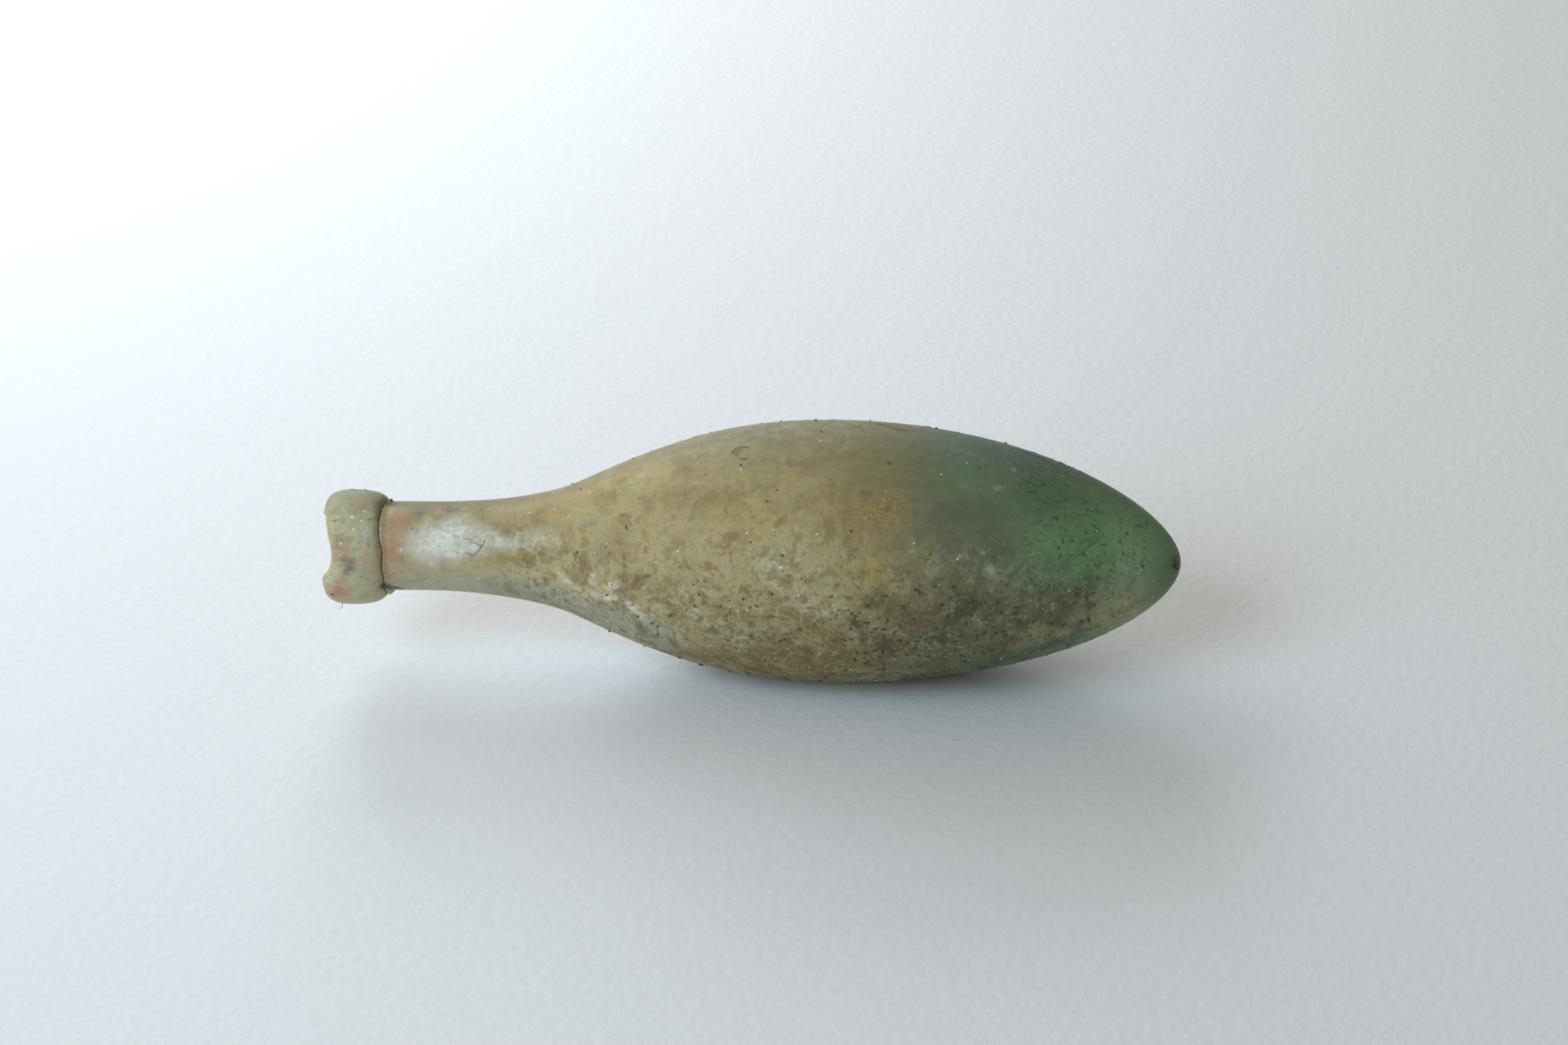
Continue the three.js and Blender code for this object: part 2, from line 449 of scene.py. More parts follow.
@dataclass(frozen=True)
class Outline:
    """The closed profile that the glass is turned from, inside and out.

    The steps are those of its curves, in the order in which they are drawn.
    """

    sizes: BottleSizes
    handles: Handles = Handles()
    lip_steps: tuple[int, ...] = (22, 18, 6, 9, 10)
    mouth_steps: tuple[int, int] = (14, 12)
    inside_steps: tuple[int, int, int] = (14, 20, 34)
    outside_steps: tuple[int, int, int] = (62, 104, 144)
    groove_reach: float = 0.3

    def body(self, radii: Triple, end: float, bluntness: float, steps: tuple[int, int, int]) -> np.ndarray:
        """Draws the flare, the shoulder and the nose.

        Args:
            radii: the radius at the neck, the shoulder and the belly.
            end: the station of the end on the axis.
            bluntness: how far the end is drawn out sideways.
            steps: the steps of the three curves.

        Returns:
            The points from the neck to the end, each as a radius and a station.
        """
        s, handles = self.sizes, self.handles
        neck, shoulder, belly = radii
        reach = handles.flare_end * s.flare_length
        leave = handles.swell_start * s.shoulder_length
        flare = curve(
            steps[0],
            (neck, s.neck_station),
            (neck, s.neck_station + handles.flare_start * s.flare_length),
            (shoulder - s.shoulder_slope * reach, s.shoulder_station - reach),
            (shoulder, s.shoulder_station),
        )
        swell = curve(
            steps[1],
            (shoulder, s.shoulder_station),
            (shoulder + s.shoulder_slope * leave, s.shoulder_station + leave),
            (belly, s.belly_station - handles.swell_end * s.shoulder_length),
            (belly, s.belly_station),
        )
        nose = curve(
            steps[2],
            (belly, s.belly_station),
            (belly, s.belly_station + handles.nose * (end - s.belly_station)),
            (bluntness, end),
            (0.0, end),
        )
        return np.vstack([[(neck, s.neck_station)], flare, swell, nose])

    def lip(self) -> np.ndarray:
        """Draws the lip's outside, the groove under it, its skirt and the neck."""
        s, handles = self.sizes, self.handles
        front_steps, back_steps, dip_steps, skirt_steps, neck_steps = self.lip_steps
        foot_station = s.lip_length - s.groove_width
        rise = s.lip_radius - s.rim_radius
        fall = foot_station - s.lip_crown
        skirt_top = s.lip_foot_radius - s.skirt_step
        groove = skirt_top - s.groove_depth + s.groove_fill
        tuck = handles.lip_tuck * (s.lip_radius - s.lip_foot_radius)
        front = curve(
            front_steps,
            (s.rim_radius, 0.0),
            (s.rim_radius + handles.rim * rise, 0.0),
            (s.lip_radius, handles.lip_front * s.lip_crown),
            (s.lip_radius, s.lip_crown),
        )
        back = curve(
            back_steps,
            (s.lip_radius, s.lip_crown),
            (s.lip_radius, s.lip_crown + handles.lip_back * fall),
            (s.lip_radius - tuck, foot_station - handles.lip_foot * fall),
            (s.lip_foot_radius, foot_station),
        )
        dip = curve(
            dip_steps,
            (s.lip_foot_radius, foot_station),
            (groove, foot_station + handles.groove * s.groove_width),
            (groove, s.lip_length - handles.groove * s.groove_width),
            (skirt_top, s.lip_length),
        )
        slope = handles.skirt_slope
        skirt = curve(
            skirt_steps,
            (skirt_top, s.lip_length),
            (s.neck_radius + slope * (skirt_top - s.neck_radius), s.lip_length + slope * s.skirt_length),
            (s.neck_radius, s.lip_length + handles.skirt_end * s.skirt_length),
            (s.neck_radius, s.skirt_station),
        )
        straight = [(s.neck_radius, s.skirt_station + s.neck_length * k / 3) for k in range(4)]
        neck = curve(neck_steps, *straight)
        return np.vstack([front, back, dip, skirt, neck])

    def mouth(self) -> np.ndarray:
        """Draws the straight bore and the rounding of the mouth, out to the crest of the rim."""
        s, handles = self.sizes, self.handles
        bore_steps, rounding_steps = self.mouth_steps
        straight = np.linspace(s.neck_station, s.mouth_rounding, bore_steps + 1)[1:]
        bore = np.column_stack([np.full(bore_steps, s.bore_radius), straight])
        rounding = curve(
            rounding_steps,
            (s.bore_radius, s.mouth_rounding),
            (s.bore_radius, handles.mouth_start * s.mouth_rounding),
            (s.bore_radius + handles.mouth_end * (s.rim_radius - s.bore_radius), 0.0),
            (s.rim_radius, 0.0),
        )
        return np.vstack([bore, rounding])

    def inside(self) -> np.ndarray:
        """Draws the hollow, from its end in the nose to the crest of the rim."""
        s = self.sizes
        shoulder = s.shoulder_radius - s.shoulder_wall * math.hypot(1, s.shoulder_slope)
        belly = s.belly_radius - s.belly_wall
        bluntness = s.nose_bluntness * belly / s.belly_radius
        end = s.total_length - s.nose_wall
        hollow = self.body((s.bore_radius, shoulder, belly), end, bluntness, self.inside_steps)
        return np.vstack([hollow[::-1], self.mouth()])

    def outside(self) -> np.ndarray:
        """Draws the outer face, from past the crest of the rim to the tip of the nose."""
        s = self.sizes
        radii = (s.neck_radius, s.shoulder_radius, s.belly_radius)
        body = self.body(radii, s.total_length, s.nose_bluntness, self.outside_steps)
        return np.vstack([self.lip(), body[1:]])

    def mesh(self) -> bpy.types.Mesh:
        """Makes the profile a chain of edges in metres, with its outside and the groove marked."""
        inside, outside = self.inside(), self.outside()
        points = np.vstack([inside, outside]) * MM
        corners = np.column_stack([points[:, 1], points[:, 0], np.zeros(len(points))])
        mesh = bpy.data.meshes.new("profile")
        mesh.from_pydata(corners.tolist(), [(i, i + 1) for i in range(len(points) - 1)], [])
        sides = [Side.INSIDE.value] * len(inside) + [Side.OUTSIDE.value] * len(outside)
        mesh.attributes.new("outer", "FLOAT", "POINT").data.foreach_set("value", sides)
        middle = self.sizes.lip_length - self.sizes.groove_width / 2
        marks = [0.0] * len(inside)
        marks += [float(abs(station - middle) < self.groove_reach) for _, station in outside]
        mesh.attributes.new("groove", "FLOAT", "POINT").data.foreach_set("value", marks)
        return mesh


class GeometryTree(Graph):
    """A tree of geometry nodes with named inputs, which is run once on a mesh."""

    def __init__(self, name: str) -> None:
        """Makes an empty tree that takes and gives a geometry."""
        super().__init__(bpy.data.node_groups.new(name, "GeometryNodeTree"))
        for way in ("OUTPUT", "INPUT"):
            self.tree.interface.new_socket(name="Geometry", in_out=way, socket_type="NodeSocketGeometry")
        self.source = self.node("NodeGroupInput")
        self.choices: dict[str, Operand] = {}

    def knob(self, name: str, kind: str, choice: Operand) -> Value:
        """Adds a named input.

        Args:
            name: its name.
            kind: Float, Int or Material.
            choice: the value that the modifier gives it.

        Returns:
            The input as a value of the tree.
        """
        socket = self.tree.interface.new_socket(name=name, in_out="INPUT", socket_type=f"NodeSocket{kind}")
        self.choices[socket.identifier] = choice
        return self.source.other(name)

    def attribute(self, name: str) -> Value:
        """Reads a named number of each point."""
        settings = {"data_type": "FLOAT"}
        return self.node("GeometryNodeInputNamedAttribute", settings, {"Name": name}, "Attribute")

    def sample(self, kind: str, value: Value, index: Value) -> Value:
        """Reads a value at one point of the geometry that goes in."""
        sockets = {"Geometry": self.source, "Value": value, "Index": index}
        return self.node("GeometryNodeSampleIndex", {"data_type": kind}, sockets)

    def store(self, geometry: Value, name: str, value: Value) -> Value:
        """Gives each point a named number."""
        sockets = {"Geometry": geometry, "Name": name, "Value": value}
        settings = {"data_type": "FLOAT", "domain": "POINT"}
        return self.node("GeometryNodeStoreNamedAttribute", settings, sockets)

    def ball(self, fineness: int) -> Value:
        """Makes a faceted ball of width 1, the finer the more often it is divided."""
        return self.node("GeometryNodeMeshIcoSphere", {}, {"Radius": 0.5, "Subdivisions": fineness}, "Mesh")

    def finish(self, geometry: Value, material: Value, smooth_under: float = 0.9) -> None:
        """Ends the tree: real geometry, smooth but for its sharp edges, with its material.

        Args:
            geometry: what the tree has made.
            material: the material it gets.
            smooth_under: the angle in radians past which an edge stays sharp.
        """
        real = self.node("GeometryNodeRealizeInstances", {}, {"Geometry": geometry})
        smooth = self.node("GeometryNodeSetShadeSmooth", {"domain": "FACE"}, {"Geometry": real})
        angle = self.node("GeometryNodeInputMeshEdgeAngle", {}, {}, "Unsigned Angle")
        sharp = self.node("FunctionNodeCompare", {"operation": "GREATER_THAN"}, {0: angle, 1: smooth_under})
        sockets = {"Geometry": smooth, "Selection": sharp, "Shade Smooth": False}
        creased = self.node("GeometryNodeSetShadeSmooth", {"domain": "EDGE"}, sockets)
        dressed = self.node("GeometryNodeSetMaterial", {}, {"Geometry": creased, "Material": material})
        self.node("NodeGroupOutput", {}, {"Geometry": dressed})

    def run(self, source: bpy.types.Mesh, name: str) -> bpy.types.Object:
        """Runs the tree on a mesh.

        Args:
            source: the mesh that goes in.
            name: the name of the object that comes out.

        Returns:
            A plain mesh object at the origin, without modifiers.
        """
        piece = put(name, source)
        modifier = piece.modifiers.new(self.tree.name, "NODES")
        modifier.node_group = self.tree
        for identifier, choice in self.choices.items():
            modifier[identifier] = choice
        bpy.context.view_layer.update()
        graph = bpy.context.evaluated_depsgraph_get()
        result = bpy.data.meshes.new_from_object(
            piece.evaluated_get(graph), preserve_all_data_layers=True, depsgraph=graph
        )
        piece.modifiers.clear()
        piece.data = result
        result.name = name
        return piece


@dataclass(frozen=True)
class Flake:
    """The flake missing from the rim, in millimetres, as seen square to its side of the bottle.

    The foot and the knee are shares of the bottom: below the foot the scar fades out, and at the knee its
    slope is at its deepest.
    """

    depth: float = 3.25
    step: float = 1.2
    top: float = 8.6
    bottom: float = 9.2
    inner: float = 4.2
    edge: float = 0.6
    ripple: float = 0.18
    foot: float = 0.45
    knee: float = 0.3


@dataclass(frozen=True)
class HandWork:
    """How far the shape strays from a turned one, in millimetres."""

    waver: float = 0.16
    waver_size: float = 34.0
    crust: float = 0.45
    crust_size: float = 2.4
    crust_start: float = 95.0
    crust_end: float = 195.0
    crust_fade: float = 30.0
    joint_start: float = 4.0
    joint_breadth: float = 1.2
    joint_waver: float = 0.45
    joint_lag: float = 0.25
    notch: float = 1.2
    notch_turn: float = math.radians(54.0)
    notch_reach: float = math.radians(42.0)
    drip: float = 0.35


def crest_of(away: Value, up: Value) -> Value:
    """Finds how high a point stands on the round of the bottle, from -1 to 1 as the viewer sees it."""
    return up / (away * away + up * up + 0.01) ** 0.5


@dataclass
class GlassShell:
    """The bottle's glass: one closed shell, turned from its profile and then worn."""

    sizes: BottleSizes = BottleSizes()
    flake: Flake = Flake()
    hand: HandWork = HandWork()
    sides: int = 192
    weld: float = 0.006

    def axis_height(self) -> float:
        """Finds the height of the level line through the nose that leaves the belly on the ground."""
        outside = Outline(self.sizes).outside()
        lowest = min(self.sizes.bow(station) - radius for radius, station in outside)
        return -self.sizes.flat_depth - lowest

    def build(self, material: bpy.types.Material) -> bpy.types.Object:
        """Turns and wears the shell.

        Args:
            material: the finish of the glass.

        Returns:
            The finished piece.
        """
        s = self.sizes
        tree = GeometryTree("turned_glass")
        sides = tree.knob("Sides", "Int", self.sides)
        length = tree.knob("Length", "Float", s.total_length * MM)
        belly = tree.knob("Belly Station", "Float", s.belly_station * MM)
        height = tree.knob("Axis Height", "Float", self.axis_height() * MM)
        bow_rise = tree.knob("Bow Rise", "Float", s.bow_rise * MM)
        neck_rise = tree.knob("Neck Rise", "Float", s.neck_rise * MM)
        lip_drop = tree.knob("Lip Drop", "Float", s.lip_drop * MM)
        finish = tree.knob("Material", "Material", material)

        points = tree.node("GeometryNodeAttributeDomainSize", {}, {"Geometry": tree.source}, "Point Count")
        columns = sides + 1
        grid = tree.node("GeometryNodeMeshGrid", {}, {"Vertices X": points, "Vertices Y": columns}, "Mesh")
        index = tree.node("GeometryNodeInputIndex")
        row = ((index + 0.5) / columns).whole()
        turn = (index - row * columns) / sides * math.tau
        place = tree.node("GeometryNodeInputPosition")
        side = tree.attribute("outer")
        spot = tree.sample("FLOAT_VECTOR", place, row)
        outer = tree.sample("FLOAT", side, row)
        groove = tree.sample("FLOAT", tree.attribute("groove"), row)
        station, radius, _ = tree.axes(spot)

        station, radius = self._waver(tree, station, radius, turn, outer)
        station = self._flake(tree, station, radius, turn)
        share = (station / length).at_least(0.0).at_most(1.0)
        bow = bow_rise * (math.pi * share**s.bow_lean).sine()
        bent = neck_rise * (station / MM).rise(s.shoulder_station, s.neck_station)
        fade = (station / MM).rise(s.skirt_station, s.lip_length)
        drop = lip_drop * fade * (radius / MM).rise(s.bore_radius, s.neck_radius)
        x = station - belly
        y = radius * turn.sine()
        z = (radius * turn.cosine() + height + bow + bent - drop).at_least(0.0)

        turned = tree.vector(x, y, z)
        placed = tree.node("GeometryNodeSetPosition", {}, {"Geometry": grid, "Position": turned})
        marked = tree.store(tree.store(placed, "outer", outer), "groove", groove)
        weld = {"Geometry": marked, "Distance": self.weld * MM}
        closed = tree.node("GeometryNodeMergeByDistance", {}, weld)
        tree.finish(closed, finish)
        return tree.run(Outline(s).mesh(), "glass_bottle")

    def _waver(
        self, tree: GeometryTree, station: Value, radius: Value, turn: Value, outer: Value
    ) -> tuple[Value, Value]:
        """Adds the slight waver of hand-made glass, the uneven joint under the lip and the crust."""
        s, hand = self.sizes, self.hand
        around = tree.vector(turn.cosine(), turn.sine(), 0.0)
        joint_top = s.lip_length - hand.joint_breadth
        near_joint = (station / MM).between(joint_top, s.lip_length, 2.0) * outer
        on_lip = (station / MM).rise(hand.joint_start, joint_top) * outer
        near_joint = near_joint.at_least(on_lip * (station / MM).rise(s.lip_length, s.lip_length - 0.5))
        wave = (tree.noise(tree.shift(around, (3.1, 0.0, 0.0)), 0.3, 2.0) - 0.5) * (2 * hand.joint_waver)
        notch = (turn + (hand.notch_turn - SHOW_TURN)).cosine().rise(math.cos(hand.notch_reach), 1.0)
        moved = station + (wave + hand.joint_lag - notch * hand.notch) * near_joint * MM

        skin = tree.vector(station, radius * turn.cosine(), radius * turn.sine())
        broad = tree.noise(skin, hand.waver_size * MM, 1.0) - 0.5
        fine = tree.noise(skin, hand.crust_size * MM, 2.0).rise(0.6, 0.82)
        crusted = (station / MM).between(hand.crust_start, hand.crust_end, hand.crust_fade)
        skirt = (station / MM).between(s.lip_length + 0.4, s.lip_length + 0.8, 0.8)
        drip = (turn + (math.pi - SHOW_TURN)).cosine().rise(0.8, 1.0)
        swell = broad * (2 * hand.waver * MM) + fine * crusted * (hand.crust * MM)
        swell = swell + skirt * drip * (hand.drip * MM)
        return moved, radius + swell * outer * (radius / MM).rise(0.0, 6.0)

    def _flake(self, tree: GeometryTree, station: Value, radius: Value, turn: Value) -> Value:
        """Breaks the flake out of the rim: what lay in front of the scar is pushed back onto it."""
        flake = self.flake
        view_turn = turn - SHOW_TURN
        up = radius * view_turn.cosine() / MM
        out = -radius * view_turn.sine() / MM
        foot = up.rise(-flake.bottom, -flake.foot * flake.bottom)
        slope = up.rise(flake.top - 0.3, -flake.knee * flake.bottom) * (flake.depth - flake.step)
        ledge = up.rise(flake.top, flake.top - 0.5) * flake.step
        ripples = (out * 1.9 + up * 0.5).sine() * flake.ripple
        scar = (slope + ledge + ripples * ledge) * foot
        scar = scar * out.rise(flake.inner - flake.edge, flake.inner + flake.edge)
        return station.at_least(scar * MM)


@dataclass(frozen=True)
class Spot:
    """A spot on the side that is shown, in millimetres along the bottle and up from its axis."""

    along: float
    up: float
    length: float
    breadth: float
    strength: float = 0.7
    lean: float = 0.0


@dataclass(frozen=True)
class Stain:
    """Spots of one colour, and how far they are broken up. At 1 they are only a dust of specks."""

    code: str
    spots: tuple[Spot, ...]
    broken: float = 0.3


TAN_HAZE = Stain(
    "a88a5a",
    (
        Spot(-66.0, 12.4, 16.0, 3.6, 0.4, -0.25),
        Spot(-6.0, 12.6, 13.0, 5.6, 0.45),
        Spot(-40.0, 12.0, 16.0, 7.0, 0.4),
        Spot(-57.0, -2.0, 8.0, 5.0, 0.35),
        Spot(-109.8, 5.6, 3.6, 3.2, 0.6),
        Spot(-61.6, -1.6, 4.4, 2.2, 0.5),
    ),
)
YELLOW_FILM = Stain(
    "b59c58",
    (
        Spot(-58.6, 9.0, 6.0, 2.6, 0.45, -0.5),
        Spot(-21.0, 7.0, 12.0, 8.0, 0.3),
        Spot(9.6, -3.4, 6.4, 5.6, 0.5),
        Spot(-84.8, -5.0, 10.0, 3.2, 0.4),
    ),
)
BROWN_FILM = Stain(
    "86714a",
    (
        Spot(-65.6, -7.4, 6.2, 4.8, 0.7),
        Spot(-51.2, -9.8, 6.4, 5.4, 0.65),
        Spot(-41.6, -11.4, 4.0, 3.6, 0.6),
        Spot(-55.6, 17.6, 4.0, 1.4, 0.5, -0.4),
        Spot(-35.0, 22.6, 3.6, 2.0, 0.5),
        Spot(-11.4, -13.4, 4.6, 3.8, 0.6),
        Spot(-6.0, 21.4, 12.0, 2.0, 0.4),
        Spot(-82.0, -5.4, 7.0, 2.6, 0.5),
    ),
)
RUST_HAZE = Stain(
    "a07845",
    (
        Spot(10.6, 8.4, 9.4, 8.0, 0.36),
        Spot(16.8, -11.6, 9.0, 4.0, 0.25),
        Spot(-6.0, -18.0, 10.0, 3.0, 0.25, 0.2),
        Spot(-36.0, 4.0, 8.0, 3.0, 0.2),
    ),
    0.6,
)
GOLD_FLECKS = Stain(
    "c39c5c",
    (Spot(11.0, 9.5, 12.0, 9.0, 0.7), Spot(9.5, -3.8, 6.6, 5.4, 0.7), Spot(-4.0, 9.6, 14.0, 7.0, 0.35)),
    1.0,
)
# Painted highlight: the broad near-white glare of light along the middle of the neck, laid on like a stain.
PAINTED_NECK_GLARE = Stain(
    "eeeee2",
    (
        Spot(-99.6, 0.0, 13.5, 7.0, 0.9),
        Spot(-101.0, 1.6, 10.5, 4.4, 0.97),
        Spot(-88.0, 1.6, 13.5, 4.6, 0.62),
        Spot(-78.0, 2.0, 10.5, 4.6, 0.35),
        Spot(-120.4, 1.4, 2.4, 9.0, 0.45),
    ),
)
PALE_CRUST = Stain(
    "cdc5a9",
    (
        Spot(-13.6, -4.6, 9.4, 9.0, 0.62, 0.5),
        Spot(-3.6, -13.6, 15.0, 6.4, 0.6, 0.6),
        Spot(-33.0, -17.0, 12.0, 4.6, 0.6, 0.5),
        Spot(-52.0, -14.6, 12.0, 2.8, 0.85, 0.35),
        Spot(-67.0, -10.0, 9.0, 2.0, 0.8, 0.35),
        Spot(-24.0, -20.0, 14.0, 4.4, 0.5, 0.3),
        Spot(-43.0, -21.4, 8.0, 4.0, 0.6, 0.3),
    ),
    0.85,
)
GREY_FILM = Stain(
    "7f8076",
    (
        Spot(-108.0, 7.9, 3.6, 1.7, 0.9),
        Spot(-100.2, 8.2, 4.6, 1.7, 0.9),
        Spot(-95.6, -4.6, 3.4, 1.6, 0.4),
        Spot(-79.6, -6.4, 2.6, 2.0, 0.6),
        Spot(-61.4, 5.2, 2.4, 1.6, 0.7),
    ),
)
SLATE_FILM = Stain(
    "626a5c",
    (
        Spot(31.0, 9.4, 13.0, 7.0, 0.6),
        Spot(37.0, 2.0, 12.0, 7.0, 0.5),
        Spot(54.0, -2.6, 9.0, 4.2, 0.5),
    ),
)
ROSE_STAIN = Stain(
    "c58672",
    (
        Spot(-127.6, -1.5, 2.2, 6.0, 0.7),
        Spot(-128.6, -13.0, 4.6, 2.8, 1.1),
        Spot(-130.2, 11.2, 2.6, 3.4, 0.5),
        Spot(-113.8, -0.6, 4.6, 10.0, 0.6),
    ),
    0.4,
)
PLUM_STAIN = Stain("6c5658", (Spot(-126.2, -7.2, 3.0, 4.2, 0.75), Spot(-57.4, -3.6, 3.0, 2.6, 0.6)), 0.6)
TURQUOISE_SPECKS = Stain(
    "6fa79c",
    (
        Spot(-122.8, -9.0, 3.0, 1.4, 0.75),
        Spot(-125.0, -3.2, 1.2, 2.6, 0.5),
    ),
    0.8,
)
RED_RUST = Stain(
    "8a5236",
    (
        Spot(-53.4, 7.4, 1.8, 1.2, 0.7),
        Spot(-50.0, 7.0, 1.2, 0.9, 0.5),
        Spot(13.8, 9.3, 1.5, 1.1, 0.7),
        Spot(8.6, 14.2, 2.6, 1.4, 0.5, 0.5),
        Spot(72.2, 4.6, 0.6, 0.9, 0.8),
    ),
)
DARK_SOIL = Stain(
    "463c2a",
    (
        Spot(-114.6, -13.2, 2.4, 1.5, 0.9),
        Spot(-115.0, 10.9, 2.4, 0.9, 0.7),
        Spot(-128.8, 6.3, 1.6, 0.4, 0.8),
        Spot(-53.0, 4.6, 0.9, 0.6, 0.9, 0.6),
        Spot(-24.4, 24.6, 1.9, 1.0, 0.6),
        Spot(13.2, 22.4, 0.9, 0.5, 0.6),
        Spot(76.8, 8.2, 1.5, 0.7, 0.8),
        Spot(87.2, -1.2, 1.19, 2.2, 2.0),
    ),
)
PALE_SPOTS = Stain(
    "a9b09c",
    (
        Spot(44.9, 21.6, 1.1, 1.0, 0.9),
        Spot(40.8, 17.4, 1.3, 1.1, 0.5),
        Spot(37.2, 0.4, 1.0, 0.8, 0.7),
        Spot(31.8, -3.6, 1.1, 0.9, 0.6),
        Spot(38.3, -4.6, 1.2, 2.6, 0.7),
        Spot(19.4, 0.4, 0.8, 0.7, 0.8),
    ),
)
PALE_CURLS = Stain(
    "e4e1d2",
    (
        Spot(-68.6, -9.6, 3.6, 1.4, 0.8, 0.3),
        Spot(-62.0, -7.6, 2.2, 1.6, 0.8),
        Spot(-56.0, -9.8, 2.8, 1.9, 0.8),
        Spot(-58.0, -13.6, 6.4, 1.3, 0.8, 0.45),
        Spot(-48.6, -16.4, 4.6, 1.3, 0.8, 0.35),
    ),
    0.7,
)
# White mineral flecks with painted glints: near-white points laid at full strength on the lip and the body,
# as bright as their sparkle.
FLECKS_WITH_PAINTED_GLINTS = Stain(
    "f8f2de",
    (
        Spot(-124.8, 6.2, 0.55, 0.5, 1.8),
        Spot(-127.2, -0.7, 0.5, 0.45, 1.8),
        Spot(-121.9, 7.7, 0.35, 0.3, 1.5),
        Spot(-122.3, 5.3, 0.35, 0.3, 1.5),
        Spot(-124.2, 3.0, 0.35, 0.3, 1.5),
        Spot(-14.9, -2.9, 0.5, 0.45, 1.6),
        Spot(-13.3, -4.2, 0.5, 0.4, 1.6),
    ),
)
DEEP_GREEN = Stain("4f7a5c", (Spot(62.0, 14.0, 12.0, 3.0, 0.4, 0.4),))
STAINS = (
    TAN_HAZE,
    YELLOW_FILM,
    BROWN_FILM,
    RUST_HAZE,
    GOLD_FLECKS,
    PAINTED_NECK_GLARE,
    PALE_CRUST,
    PALE_CURLS,
    GREY_FILM,
    SLATE_FILM,
    DEEP_GREEN,
    ROSE_STAIN,
    PLUM_STAIN,
    TURQUOISE_SPECKS,
    RED_RUST,
    DARK_SOIL,
    PALE_SPOTS,
    FLECKS_WITH_PAINTED_GLINTS,
)


@dataclass(frozen=True)
class Skin:
    """Coordinates on the glass in millimetres, as seen square to the side that is shown.

    The ragged place strays from the true one, and along is how far it lies along the bottle. The crest says
    how high a point stands on the round of the bottle, from -1 to 1. The outer is 1 outside and 0 inside, and
    the lip is 1 on the lip.
    """

    place: Value
    ragged: Value
    along: Value
    away: Value
    crest: Value
    outer: Value
    lip: Value


@dataclass(frozen=True)
class Clouds:
    """Three cloudy textures of the glass, from the widest to the finest."""

    broad: Value
    mottle: Value
    grain: Value


@dataclass(frozen=True)
class Dirt:
    """How much of the crust, the veins and the pits covers a point."""

    crust: Value
    veins: Value
    pits: Value


